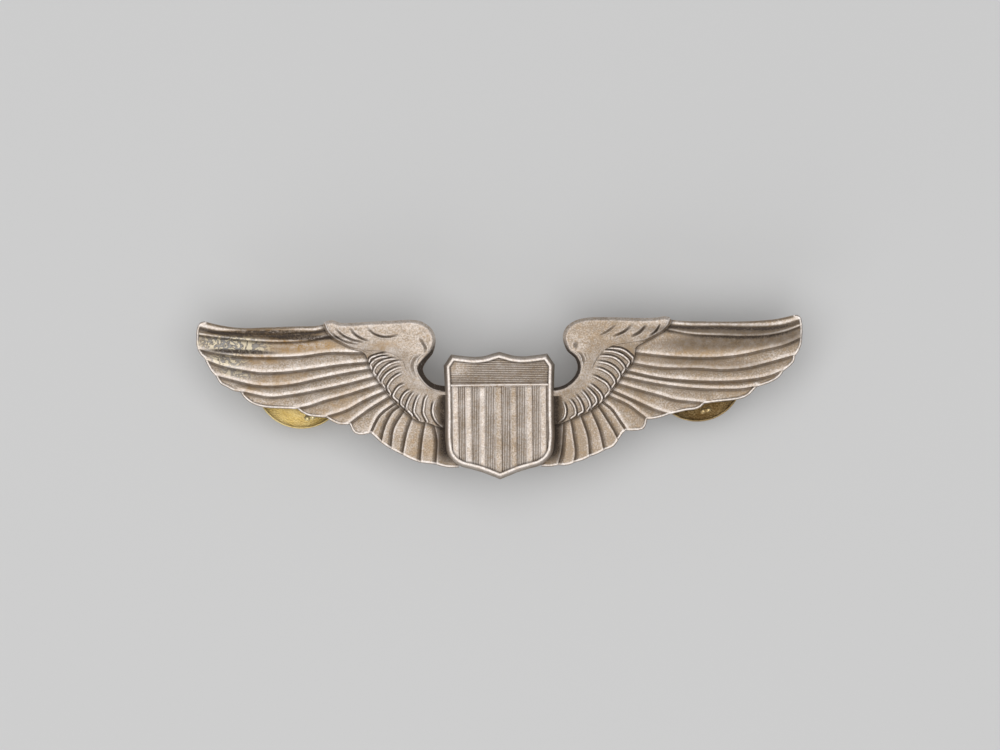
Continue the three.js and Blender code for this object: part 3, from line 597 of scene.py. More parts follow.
# Patches of tarnish that lie across the relief: the mask each one raises, the patch's
# centre, its half length and half width, its tilt in degrees and its strength.
PATCHES = {
    "left": [
        ("crust", (33.3, 7.1), (6.4, 1.7), 5, 1.2),
        ("crust", (34.0, 5.1), (3.4, 1.1), 8, 1.0),
        ("crust", (33.0, 3.5), (3.0, 0.8), 12, 0.8),
        ("stain", (25.5, 6.9), (8.0, 1.4), 0, 0.85),
        ("wear", (25.0, 6.9), (5.5, 0.5), 0, 0.5),
        ("stain", (29.5, 8.4), (9.5, 0.8), 0, 1.3),
        ("stain", (31.0, 5.3), (5.0, 1.0), 4, 0.8),
        ("stain", (28.0, 2.3), (7.0, 1.2), -12, 0.5),
        ("stain", (20.0, -1.0), (5.0, 2.5), -35, 0.4),
        ("stain", (14.6, 6.7), (2.6, 0.8), -10, 0.5),
        ("stain", (9.5, -6.0), (3.5, 1.8), 0, 0.2),
        ("grime", (24.5, 7.85), (6.5, 0.45), 0, 0.9),
        ("grime", (29.5, 8.6), (9.5, 0.4), 0, 0.9),
        ("grime", (32.5, 6.2), (6.0, 0.4), 3, 1.0),
    ],
    "right": [
        ("grime", (30.0, 7.0), (14.0, 1.6), 3, 0.55),
        ("grime", (27.0, 8.5), (14.0, 0.7), 0, 0.4),
        ("grime", (26.0, 4.2), (12.0, 1.0), -3, 0.2),
        ("stain", (29.0, 6.5), (11.0, 1.8), 3, 0.4),
        ("stain", (25.0, 4.3), (10.0, 1.8), -3, 0.25),
        ("stain", (28.0, 1.8), (7.0, 1.2), 0, 0.2),
        ("stain", (17.0, -0.5), (5.0, 2.5), -35, 0.15),
        ("stain", (13.5, 7.2), (3.0, 1.0), -10, 0.25),
        ("wear", (14.0, 7.5), (9.0, 4.5), 0, -0.1),
    ],
}


def patch(points, centre, half, tilt):
    """1 in the middle of a tilted ellipse, falling smoothly to 0 at its edge."""
    turn = math.radians(tilt)
    off = points - centre
    along = (off[..., 0] * math.cos(turn) + off[..., 1] * math.sin(turn)) / half[0]
    beside = (off[..., 1] * math.cos(turn) - off[..., 0] * math.sin(turn)) / half[1]
    return fall(np.hypot(along, beside) - 0.35, 0.65)


CREASE_ANGLE = math.radians(50)


def add_piece(name, points, faces, body, slot_name, material):
    """A mesh object at the origin, with points in millimetres and smooth faces, which
    are creased where they meet at a sharp angle."""
    mesh = bpy.data.meshes.new(name)
    mesh.from_pydata((np.asarray(points) * MM).tolist(), [], faces)
    mesh.shade_smooth()
    mesh.set_sharp_from_angle(angle=CREASE_ANGLE)
    piece = bpy.data.objects.new(name, mesh)
    bpy.context.scene.collection.objects.link(piece)
    mesh.materials.append(material)
    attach(piece, body)
    return piece


def grid_faces(rows, cols, flip=False, first=0):
    """The four-sided faces of a grid whose vertices are numbered row by row."""
    corner = first + (np.arange(rows - 1)[:, None] * cols + np.arange(cols - 1)).ravel()
    faces = np.stack([corner, corner + 1, corner + cols + 1, corner + cols], axis=1)
    return (faces[:, ::-1] if flip else faces).tolist()


def paint(piece, **layers):
    """Stores each layer on the vertices: one number for them all, or one for each of
    the first ones and 0 for the rest."""
    for name, values in layers.items():
        full = np.zeros(len(piece.data.vertices), np.float32)
        full[:np.size(values) if np.ndim(values) else None] = np.ravel(values)
        piece.data.attributes.new(name, "FLOAT", "POINT").data.foreach_set("value", full)


WALL_LEVELS = (0.25, 0.6, 1.0)  # shares of the way down from the outline to the back


def closed_slab(top, bottom_z, flip=False):
    """Points and faces of a solid whose top is a grid of places: walls go straight down
    from the grid's border, and one flat face closes the bottom."""
    rows, cols = top.shape[:2]
    number = np.arange(rows * cols).reshape(rows, cols)
    loop = np.concatenate([number[0, :-1], number[:-1, -1], number[-1, :0:-1], number[:0:-1, 0]])
    rim = top.reshape(-1, 3)[loop]
    levels = [np.column_stack([rim[:, :2], rim[:, 2] + share * (bottom_z - rim[:, 2])])
              for share in WALL_LEVELS]
    faces = grid_faces(rows, cols, flip)
    above = loop
    for level in range(len(WALL_LEVELS)):
        below = rows * cols + level * len(loop) + np.arange(len(loop))
        wall = np.stack([np.roll(above, -1), above, below, np.roll(below, -1)], axis=1)
        faces += (wall[:, ::-1] if flip else wall).tolist()
        above = below
    faces.append((above if flip else above[::-1]).tolist())
    return np.concatenate([top.reshape(-1, 3), *levels]), faces


def make_wing(side, sign, material):
    """The wing as one closed shell: its relief, its edge, and the flat back."""
    plan = wing_plan(side)
    parts = [arm_relief(side, plan), covert_relief(side, plan), feather_relief(side, plan)]
    height, wear, grime = (np.concatenate(layer) for layer in zip(*parts))
    flat = np.concatenate([plan["arm"], plan["covert"], plan["feather"]])
    top = np.dstack([sign * flat[..., 0], flat[..., 1], height])
    points, faces = closed_slab(top, BACK_Z, flip=sign < 0)
    piece = add_piece(f"{side}_wing", points, faces, "badge", "aged_silver", material)
    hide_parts("wings_plate")
    masks = {"wear": wear + RUBBED[side], "grime": grime, "stain": 0 * wear, "crust": 0 * wear}
    for mask, centre, half, tilt, strength in PATCHES[side]:
        masks[mask] = masks[mask] + strength * patch(flat, centre, half, tilt)
    paint(piece, **masks)


class Wiring:
    """Adds nodes to a tree; a node input is given as a number, a colour or a socket."""

    def __init__(self, tree):
        self.tree = tree

    def set(self, socket, value):
        """Links a socket, or stores a number or colour."""
        if isinstance(value, bpy.types.NodeSocket):
            self.tree.links.new(value, socket)
        else:
            socket.default_value = value

    def node(self, kind, inputs=None, **settings):
        """A new node with its settings, and its inputs given by name or number."""
        node = self.tree.nodes.new("ShaderNode" + kind)
        for name, value in settings.items():
            setattr(node, name, value)
        for name, value in (inputs or {}).items():
            self.set(node.inputs[name], value)
        return node

    def math(self, operation, a, b=0.0, clamp=False):
        node = self.node("Math", {0: a, 1: b}, operation=operation, use_clamp=clamp)
        return node.outputs[0]

    def times(self, a, b, clamp=False):
        return self.math("MULTIPLY", a, b, clamp)

    def plus(self, a, b, clamp=False):
        return self.math("ADD", a, b, clamp)

    def mix(self, share, a, b):
        node = self.node("Mix", {"Factor": share, "A": a, "B": b}, data_type="RGBA")
        return node.outputs["Result"]

    def noise(self, where, scale, detail=3.0, roughness=0.6):
        """Noise from 0 to 1; the scale is in waves to the metre."""
        inputs = {"Vector": where, "Scale": scale, "Detail": detail, "Roughness": roughness}
        return self.node("TexNoise", inputs).outputs["Fac"]

    def spread(self, value, low, high):
        """0 up to low, 1 from high on, and even between."""
        inputs = {"Value": value, "From Min": low, "From Max": high}
        return self.node("MapRange", inputs, clamp=True).outputs["Result"]


GROUP_INPUTS = {
    "Wear": 0.5, "Grime": 0.0, "Stain": 0.0, "Crust": 0.0,
    "Worn Color": (0.7, 0.66, 0.62, 1), "Patina Color": (0.4, 0.33, 0.25, 1),
    "Stain Color": (0.35, 0.24, 0.12, 1), "Soil Color": (0.06, 0.045, 0.03, 1),
    "Grain Scale": 5600.0, "Grain Share": 0.6, "Roughness": 0.52, "Metallic": 0.65,
}
CLOUD_SCALE, BLOTCH_SCALE, SPECK_SCALE, MARBLE_SCALE = 420.0, 1100.0, 2700.0, 1000.0
THIN_STAIN = 0.3  # the stain that lies all over
CRUST_GREY = (0.27, 0.26, 0.25, 1)
CRUST_CREAM = (0.68, 0.60, 0.44, 1)
CRUST_VEIN = (0.09, 0.075, 0.06, 1)


def aged_metal_group():
    """Masks of wear, of dirt and painted shade, of stain and of crust, broken up by a fine grain and
    by clouds, give the colour, roughness, metalness and relief of an old metal that was handled.
    Where a piece paints highlights, its wear mask carries them too."""
    tree = bpy.data.node_groups.new("aged_metal", "ShaderNodeTree")
    for name, value in GROUP_INPUTS.items():
        kind = "NodeSocketColor" if name.endswith("Color") else "NodeSocketFloat"
        socket = tree.interface.new_socket(name, in_out="INPUT", socket_type=kind)
        socket.default_value = value
    tree.interface.new_socket("Color", in_out="OUTPUT", socket_type="NodeSocketColor")
    for name in ("Roughness", "Metallic", "Height"):
        tree.interface.new_socket(name, in_out="OUTPUT", socket_type="NodeSocketFloat")
    wire = Wiring(tree)
    given = tree.nodes.new("NodeGroupInput").outputs
    where = wire.node("TexCoord").outputs["Object"]
    grain = wire.spread(wire.noise(where, given["Grain Scale"]), 0.36, 0.64)
    cloud = wire.spread(wire.noise(where, CLOUD_SCALE, 4.0), 0.32, 0.68)
    blotch = wire.spread(wire.noise(where, BLOTCH_SCALE, 5.0, 0.7), 0.36, 0.68)
    grain_swing = wire.times(wire.math("SUBTRACT", grain, 0.5), given["Grain Share"])
    cloud_swing = wire.times(wire.math("SUBTRACT", cloud, 0.5), 0.35)
    wear = wire.plus(given["Wear"], wire.plus(grain_swing, cloud_swing), clamp=True)
    color = wire.mix(wear, given["Patina Color"], given["Worn Color"])

    speckled = wire.plus(wire.times(blotch, 0.7), wire.times(grain, 0.5))
    stained = wire.times(wire.plus(given["Stain"], THIN_STAIN), speckled, clamp=True)
    color = wire.mix(stained, color, given["Stain Color"])
    specks = wire.spread(wire.noise(where, SPECK_SCALE), 0.51, 0.6)
    color = wire.mix(wire.times(specks, 0.25), color, given["Stain Color"])

    marbling = {"Vector": where, "Scale": MARBLE_SCALE, "Detail": 4.0, "Distortion": 2.2}
    marbled = wire.node("TexNoise", marbling).outputs["Fac"]
    off_vein = wire.math("ABSOLUTE", wire.math("SUBTRACT", marbled, 0.5))
    crust = wire.mix(wire.spread(marbled, 0.49, 0.52), CRUST_GREY, CRUST_CREAM)
    crust = wire.mix(wire.spread(off_vein, 0.01, 0.035), CRUST_VEIN, crust)
    color = wire.mix(wire.times(given["Crust"], 0.75, clamp=True), color, crust)

    # The dark mask mixes towards the soil colour: real dirt and tarnish, and painted shade in
    # crevices, gaps and on walls.
    uneven = wire.plus(wire.times(grain, 0.7), wire.times(blotch, 0.35))
    grime = wire.times(given["Grime"], wire.plus(uneven, 0.45), clamp=True)
    put = tree.nodes.new("NodeGroupOutput").inputs
    results = {
        "Color": wire.mix(grime, color, given["Soil Color"]),
        "Roughness": wire.plus(given["Roughness"], wire.times(grime, 0.25)),
        "Metallic": wire.math("SUBTRACT", given["Metallic"], wire.times(grime, 0.5), clamp=True),
        "Height": grain,
    }
    for name, result in results.items():
        wire.set(put[name], result)
    return tree


aged_metal = aged_metal_group()


MASKS = ("wear", "grime", "stain", "crust")
STRUCK_GRAIN = 0.014 * MM  # how deep the grain of a struck or pressed surface is
TURNED_GRAIN = 0.006 * MM


def aged_finish(name, masks=MASKS, grain_deep=STRUCK_GRAIN, **values):
    """A finish of the aged metal group. Its masks are painted on the piece, and its
    other inputs are given as numbers and colours."""
    material = bpy.data.materials.new(name)
    material.use_nodes = True
    wire = Wiring(material.node_tree)
    shader = material.node_tree.nodes["Principled BSDF"]
    aged = wire.node("Group", node_tree=aged_metal)
    for mask in masks:
        painted = wire.node("Attribute", attribute_name=mask)
        wire.set(aged.inputs[mask.title()], painted.outputs["Fac"])
    for key, value in values.items():
        wire.set(aged.inputs[key.replace("_", " ").title()], value)
    wire.set(shader.inputs["Base Color"], aged.outputs["Color"])
    wire.set(shader.inputs["Roughness"], aged.outputs["Roughness"])
    wire.set(shader.inputs["Metallic"], aged.outputs["Metallic"])
    grain = {"Height": aged.outputs["Height"], "Distance": grain_deep, "Strength": 1.0}
    wire.set(shader.inputs["Normal"], wire.node("Bump", grain).outputs["Normal"])
    return material


# The soil colour is the dark of both dirt and painted shade.
wing_silver = aged_finish(
    "wing_silver", worn_color=(0.82, 0.765, 0.73, 1), patina_color=(0.28, 0.226, 0.175, 1),
    stain_color=(0.34, 0.205, 0.075, 1), soil_color=(0.05, 0.034, 0.024, 1))
make_wing("left", -1, wing_silver)
make_wing("right", 1, wing_silver)


# ---- The shield -----------------------------------------------------------------------
# A plain heraldic shield struck apart from the wings and soldered on a pad between
# them: a raised rim with sloping sides, a chief of fine level lines above a bar, and
# below it seven smooth upright stripes with fine upright hatching between them.

SHIELD_TOP = 11.88
SHIELD_BOTTOM = 9.82
FIELD_Z = 11.52
STRIPE_HIGH = 0.13
RIM_WIDE = 0.42
FLANK = 0.33  # how far the foot of the shield stands out past its rim
TUCK = 0.12  # how far the field runs in under the rim
FIELD_COLUMNS, CHIEF_ROWS, STRIPE_ROWS = 440, 105, 40
CHIEF_LINE = 1.7  # the middle of the bar below the chief
BAR_HALF, BAR_HIGH = 0.14, 0.2
CHIEF_PITCH, CHIEF_HIGH = 0.225, 0.06
SMOOTH_STRIPES = [(-5.92, -5.12), (-4.3, -3.48), (-2.5, -1.78), (-0.58, 0.27), (1.33, 2.12),
                  (3.3, 4.1), (5.05, 5.85)]
STRIPE_SIDE = 0.1  # how wide a stripe's sloping side is
LIP_ON_STRIPE = 0.03  # how far its two edges stand above its middle
HATCH_PITCH, HATCH_HIGH = 0.215, 0.05
# How bright the stripes are painted, from the left to the right: their wear with a painted reflection
# that darkens the middle ones.
TONE_X, REFLECTED_TONE = (-6, -2, -0.9, 2.4, 3, 6), (0.6, 0.62, 0.25, 0.25, 0.45, 0.5)
# The rim's outer edge on the right, corner to corner from the peak to the point.
SHIELD_EDGES = [
    [(0, 5.48), (0.7, 5.3), (1.5, 5.06), (3.0, 4.9), (4.5, 5.02), (5.85, 5.2)],
    [(5.85, 5.2), (6.6, 4.1)],
    [(6.6, 4.1), (6.52, 2), (6.48, -2), (6.46, -5.6), (6.28, -6.7), (5.75, -7.5), (4.9, -8.1),
     (3.5, -8.5), (2.1, -8.92), (1.0, -9.36), (0, -9.76)],
]


def shield_outline():
    """The rim's outer edge all round, clockwise from the peak, and at each place the
    outward direction, drawn out at corners so that an offset keeps its width."""
    counts = (24, 8, 70)
    half = np.concatenate([sampled(edge, n + 1)[:-1] for edge, n in zip(SHIELD_EDGES, counts)])
    mirror = np.concatenate([[SHIELD_EDGES[-1][-1]], half[:0:-1]]) * (-1, 1)
    line = np.concatenate([half, mirror])
    after = np.roll(line, -1, axis=0) - line
    after /= np.linalg.norm(after, axis=1)[:, None]
    before = np.roll(after, 1, axis=0)
    normal = np.stack([-after[:, 1] - before[:, 1], after[:, 0] + before[:, 0]], axis=1)
    return line, 2 * normal / (normal**2).sum(1)[:, None]


def joined(*shells):
    """Several shells as one list of points and one of faces."""
    points, faces = [], []
    start = 0
    for shell_points, shell_faces in shells:
        points.append(shell_points)
        faces += [[start + int(n) for n in face] for face in shell_faces]
        start += len(shell_points)
    return np.concatenate(points), faces


def swept_ring(line, outward, profile):
    """A closed ring: at each place of the line the profile's (offset, height) pairs are
    laid along the outward direction. Rows run along the line and close on themselves."""
    offset, high = np.array(profile).T
    flat = line[:, None] + offset[:, None] * outward[:, None]
    points = np.dstack([flat, np.broadcast_to(high, flat.shape[:2])])
    rows, cols = points.shape[:2]
    number = np.arange(rows * cols).reshape(rows, cols)
    right, down = np.roll(number, -1, axis=1), np.roll(number, -1, axis=0)
    faces = np.stack([number, right, np.roll(right, -1, axis=0), down], axis=-1).reshape(-1, 4)
    return points.reshape(-1, 3), faces.tolist()


def field_places(inside):
    """The field's grid in plan. Columns are upright, and rows follow the rim's inside
    at top and bottom and the bar between."""
    right = inside[:len(inside) // 2 + 1]
    turn = right[:, 0].argmax()
    half_wide = right[turn, 0] - 0.01
    x = np.linspace(-half_wide, half_wide, FIELD_COLUMNS)
    top_y = np.interp(np.abs(x), right[:turn + 1, 0], right[:turn + 1, 1])
    low_y = np.interp(np.abs(x), right[turn:][::-1, 0], right[turn:][::-1, 1])
    above = np.linspace(0, 1, CHIEF_ROWS)[:, None]
    below = ease(np.linspace(0, 1, STRIPE_ROWS)[1:, None] ** 0.9)
    y = np.concatenate([top_y + above * (CHIEF_LINE - top_y),
                        CHIEF_LINE + below * (low_y - CHIEF_LINE)])
    return np.broadcast_to(x, y.shape), y


def shield_field(inside):
    """The sunk field's height and masks: a sum of stripes and hatching in x below the bar, and of
    fine lines in y above it, which are rubbed away at the upper left. The stripes' brightness holds a
    painted reflection, their left edges a painted highlight, and the field is painted dark as shade
    beside the rim and the bar."""
    x, y = field_places(inside)
    up = y - CHIEF_LINE
    bar = plateau(up, 0.06, 0.12)
    in_chief = ease((up - BAR_HALF) / 0.06)
    in_stripes = ease((-up - BAR_HALF) / 0.06)
    level = 0.5 + 0.5 * np.cos(2 * np.pi * up / CHIEF_PITCH)
    hatch = 0.5 + 0.5 * np.cos(2 * np.pi * x / HATCH_PITCH)
    rubbed = 1 - 0.75 * ease((-x - 2.2) / 3) * ease((y - 2.2) / 1.5)
    stripe = sum(ease((x - a) / STRIPE_SIDE + 0.5) * ease((b - x) / STRIPE_SIDE + 0.5)
                 for a, b in SMOOTH_STRIPES)
    lip = sum(bump(x - a - 0.1, 0.1) + bump(x - b + 0.1, 0.1) for a, b in SMOOTH_STRIPES)
    # A painted highlight along each stripe's left edge.
    crest = sum(bump(x - a - 0.07, 0.12) for a, _ in SMOOTH_STRIPES)
    rim_off, _, _ = nearest(np.dstack([x, y]), np.concatenate([inside, inside[:1]]))

    height = FIELD_Z + BAR_HIGH * bar + in_chief * CHIEF_HIGH * level * rubbed
    height = height + in_stripes * (STRIPE_HIGH * stripe + LIP_ON_STRIPE * lip
                                    + HATCH_HIGH * hatch * (1 - stripe))
    striped = (np.interp(x, TONE_X, REFLECTED_TONE) * stripe + 0.5 * crest
               + (0.25 + 0.4 * hatch) * (1 - stripe))
    lined = 0.5 * level * rubbed + 0.25 * (1 - rubbed)
    wear = in_stripes * striped + in_chief * lined + 1.3 * bar
    hollows = in_stripes * (1 - stripe) * 0.7 * np.clip(1 - 1.7 * hatch, 0, 1)
    hollows = hollows + in_chief * 0.6 * (1 - level) * rubbed
    # Painted shade in the corners beside the rim and on both sides of the bar.
    corners = 0.6 * fall(rim_off - 0.1, 0.3) + 0.3 * bump(up + 0.26, 0.1) + 0.5 * bump(up - 0.26, 0.1)
    return np.dstack([x, y, height]), wear, (hollows + corners) * (1 - bar)


# The rim's section, from the field over the top and down to the foot: offset, height, wear, and dirt
# with painted shade, the last dark on the inner wall and down the flank.
RIM_SECTION = [
    (-RIM_WIDE - 0.2, SHIELD_BOTTOM + 0.3, 0, 1),
    (-RIM_WIDE - 0.04, FIELD_Z - 0.1, 0, 1),
    (-RIM_WIDE, SHIELD_TOP - 0.12, 0.5, 0.3),
    (-RIM_WIDE + 0.05, SHIELD_TOP - 0.03, 1, 0),
    (-RIM_WIDE + 0.12, SHIELD_TOP, 1.2, 0),
    (-0.14, SHIELD_TOP, 1.2, 0),
    (-0.06, SHIELD_TOP - 0.03, 1, 0),
    (0, SHIELD_TOP - 0.12, 0.7, 0),
    (0.08, SHIELD_TOP - 0.45, 0.45, 0.1),
    (0.2, SHIELD_TOP - 1, 0.35, 0.2),
    (FLANK, SHIELD_BOTTOM + 0.35, 0.3, 0.4),
    (FLANK + 0.02, SHIELD_BOTTOM + 0.2, 0.2, 0.5),
    (FLANK, SHIELD_BOTTOM + 0.02, 0.2, 0.5),
    (FLANK - 0.05, SHIELD_BOTTOM, 0, 0.5),
    (-RIM_WIDE - 0.2, SHIELD_BOTTOM, 0, 0.5),
]

rim_line, rim_outward = shield_outline()
rim_profile = [(offset, high) for offset, high, _, _ in RIM_SECTION]
rim_wear, rim_grime = (np.tile(mask, len(rim_line)) for mask in list(zip(*RIM_SECTION))[2:])
field_top, field_wear_and_highlights, field_grime = shield_field(rim_line - (RIM_WIDE - TUCK) * rim_outward)
shield = add_piece("shield_face", *joined(swept_ring(rim_line, rim_outward, rim_profile),
                                          closed_slab(field_top, SHIELD_BOTTOM + 0.1)),
                   "badge", "worn_silver", wing_silver)
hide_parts("shield")
# The shield's wear carries a painted reflection and painted highlights on the stripes; its dark mask
# carries painted shade in the corners and on the rim's walls, with tarnish in the hollows.
paint(shield, wear=np.concatenate([rim_wear, field_wear_and_highlights.ravel()]),
      grime=np.concatenate([rim_grime, field_grime.ravel()]))


# ---- The pad behind the shield --------------------------------------------------------
# The part of the wing plate that joins the two wings and carries the shield. It is
# struck with them and hardly shows: its edge is dark in the gap round the shield.

PAD_INSET = 0.3  # how far inside the rim's outer edge it ends
PAD_TOP = 9.8
PAD_BOTTOM = BACK_Z + 0.015  # a hair above the wings' flat back, which laps over its edge


PAD_RINGS = [  # inset and height, from the top edge down to the bottom one
    (0.06, PAD_TOP), (0, PAD_TOP - 0.06), (0, PAD_BOTTOM + 0.05), (0.05, PAD_BOTTOM),
]

pad_line = rim_line - PAD_INSET * rim_outward
pad_count = len(pad_line)
pad_points = np.concatenate([
    np.column_stack([pad_line - inset * rim_outward, np.full(pad_count, high)])
    for inset, high in PAD_RINGS])
pad_rings = np.arange(len(pad_points)).reshape(len(PAD_RINGS), pad_count)
pad_faces = [pad_rings[0, ::-1].tolist()]
for above, below in zip(pad_rings[:-1], pad_rings[1:]):
    pad_faces += np.stack([above, np.roll(above, -1), np.roll(below, -1), below], axis=1).tolist()
pad_faces.append(pad_rings[-1].tolist())
pad = add_piece("shield_pad", pad_points, pad_faces, "badge", "aged_silver", wing_silver)
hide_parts("wings_plate")
# The pad's top edge, seen in the gap round the shield, is painted dark as shade.
paint(pad, wear=np.repeat((0.2, 0.2, 0, 0), pad_count),
      grime=np.repeat((0.6, 0.6, 0, 0), pad_count))


# ---- The posts ------------------------------------------------------------------------
# Two headed pins turned from plated brass wire and soldered to the back by their
# flanges. Each has a sharp tip and two grooves that the clutch's jaws snap into.

def middle_of(node):
    """A node's middle in plan, in millimetres."""
    low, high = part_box(node)
    return (low.x + high.x) / 2 / MM, (low.y + high.y) / 2 / MM


def turned(profile, segments, centre=(0, 0)):
    """A profile of (radius, height) pairs turned about an upright axis. Ends that lie on
    the axis become poles of three-sided faces; other ends close on each other."""
    radius, high = np.array(profile, float).T
    poles = radius[0] == 0 and radius[-1] == 0
    ring = slice(1, -1) if poles else slice(None)
    radius, high = radius[ring], high[ring]
    angle = np.arange(segments) * 2 * np.pi / segments
    points = np.stack([centre[0] + radius[:, None] * np.cos(angle),
                       centre[1] + radius[:, None] * np.sin(angle),
                       np.broadcast_to(high[:, None], (len(radius), segments))], axis=-1)
    rows = len(radius)
    number = np.arange(rows * segments).reshape(rows, segments)
    beside = np.roll(number, -1, axis=1)
    last = rows - 1 if poles else rows
    nxt, nxt_beside = np.roll(number, -1, axis=0), np.roll(beside, -1, axis=0)
    faces = np.stack([number, beside, nxt_beside, nxt], axis=-1)[:last].reshape(-1, 4).tolist()
    points = points.reshape(-1, 3)
    if poles:
        ends = [(*centre, profile[0][1]), (*centre, profile[-1][1])]
        points = np.concatenate([points, ends])
        faces += [[rows * segments, b, a] for a, b in zip(number[0], beside[0])]
        faces += [[rows * segments + 1, a, b] for a, b in zip(number[-1], beside[-1])]
    return points, faces


POST_PROFILE = [
    (0, 1.8), (0.06, 1.81), (0.13, 1.88), (0.3, 2.3), (0.46, 2.66), (0.54, 2.9), (0.55, 3.1),
    (0.5, 3.18), (0.43, 3.24), (0.41, 3.3), (0.43, 3.36), (0.5, 3.42), (0.55, 3.5), (0.55, 4.25),
    (0.5, 4.33), (0.43, 4.39), (0.41, 4.45), (0.43, 4.51), (0.5, 4.57), (0.55, 4.65), (0.55, 8.05),
    (0.6, 8.2), (0.75, 8.3), (1.1, 8.34), (1.5, 8.38), (1.58, 8.44), (1.6, 8.52), (1.6, 8.72),
    (1.55, 8.78), (0, 8.78),
]


pin_nickel = aged_finish(
    "pin_nickel", masks=(), grain_deep=TURNED_GRAIN, wear=0.6, roughness=0.3,
    worn_color=(0.66, 0.62, 0.54, 1), patina_color=(0.45, 0.39, 0.28, 1),
    stain_color=(0.4, 0.3, 0.15, 1), soil_color=(0.1, 0.08, 0.05, 1))
for side in ("left", "right"):
    post_shell = turned(POST_PROFILE, 48, middle_of(f"{side}_post"))
    post = add_piece(f"{side}_pin_post", *post_shell, "badge", "nickel_brass", pin_nickel)
    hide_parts(f"{side}_post")


# ---- The clutch discs -----------------------------------------------------------------
# The round face of each clutch, drawn from thin sheet brass: a flat that presses on the cloth, a
# dished border with a rolled rim, and four pairs of punched nibs that bite. The left one is coloured
# bright golden and the right one dark brown; on both, the nibs and the rim are painted paler as
# highlights.

DISC_RIM = 5.8  # the radius of the rolled rim's crest
DISC_PROFILE = [
    (0.75, 5.27), (0.8, 5.25), (4.55, 5.25), (4.95, 5.28), (5.35, 5.4), (5.6, 5.52), (5.74, 5.62),
    (5.82, 5.7), (5.85, 5.76), (5.84, 5.83), (5.79, 5.87), (5.72, 5.87), (5.64, 5.82), (5.5, 5.77),
    (5.25, 5.72), (5.0, 5.68), (4.6, 5.64), (4.2, 5.62), (0.8, 5.62), (0.75, 5.6),
]
NIB_PROFILE = [
    (0, 5.5), (0.36, 5.5), (0.42, 5.62), (0.37, 5.67), (0.3, 5.72), (0.22, 5.77),
    (0.14, 5.805), (0.06, 5.825), (0, 5.83),
]
NIB_RING = 4.58
NIB_PAIRS = 4
FIRST_PAIR = -1.34  # radians
PAIR_SPREAD = 0.078

BRASS_WEAR = 0.3
DISC_WEAR = 0.18
PRESSED_BRASS = {"grain_share": 0.45, "metallic": 0.9, "roughness": 0.42}
brass = {
    "left": aged_finish(
        "golden_brass", worn_color=(0.82, 0.72, 0.42, 1), patina_color=(0.49, 0.36, 0.115, 1),
        stain_color=(0.36, 0.22, 0.05, 1), soil_color=(0.1, 0.06, 0.02, 1), **PRESSED_BRASS),
    "right": aged_finish(
        "brown_brass", worn_color=(0.68, 0.51, 0.26, 1), patina_color=(0.085, 0.05, 0.015, 1),
        stain_color=(0.09, 0.045, 0.01, 1), soil_color=(0.05, 0.03, 0.01, 1), **PRESSED_BRASS),
}
for side in ("left", "right"):
    centre = middle_of(f"{side}_clutch_disc")
    shells = [turned(DISC_PROFILE, 144, centre)]
    for pair in range(NIB_PAIRS):
        for hand in (-1, 1):
            angle = FIRST_PAIR + pair * 2 * math.pi / NIB_PAIRS + hand * PAIR_SPREAD
            shells.append(turned(NIB_PROFILE, 20, (centre[0] + NIB_RING * math.cos(angle),
                                                   centre[1] + NIB_RING * math.sin(angle))))
    disc = add_piece(f"{side}_disc", *joined(*shells), f"{side}_clutch",
                     "clutch_brass", brass[side])
    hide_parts(f"{side}_clutch_disc")
    on_nibs = np.arange(len(disc.data.vertices)) >= len(shells[0][0])
    places = np.concatenate([points for points, _ in shells])[:, :2]
    # The nibs and the rolled rim are painted paler as highlights over their wear.
    on_rim = bump(np.linalg.norm(places - centre, axis=1) - DISC_RIM, 0.25)
    paint(disc, wear=DISC_WEAR + 1.2 * on_nibs + 0.45 * on_rim, stain=0.25 * ~on_nibs)


# ---- The clutch hubs ------------------------------------------------------------------
# The cup crimped to the back of the disc, drawn from the same sheet. It hides the spring
# and has a slot on each side that an ear comes out through.

HUB_WALL = 0.3
HUB_RADIUS = 2.45  # to the middle of its upright wall
HUB_HOLE = 0.02  # a pinhole in the middle of the base, where the turned rows meet
HUB_LINE = [  # the middle of the wall, from the axis round the base and up to the lip
    (0, 1.6), (0.8, 1.61), (1.4, 1.68), (1.85, 1.82), (2.15, 2.02), (2.36, 2.28), (2.44, 2.55),
    (HUB_RADIUS, 2.9), (HUB_RADIUS, 3.4), (HUB_RADIUS, 3.9), (HUB_RADIUS, 4.25),
    (HUB_RADIUS, 4.5), (2.48, 4.75), (2.6, 4.95), (2.8, 5.06), (3.1, 5.08), (3.35, 5.08),
]
HUB_SEGMENTS = 96
SLOT_HALF = 1.05
SLOT_LOW, SLOT_HIGH = 2.02, 4.25


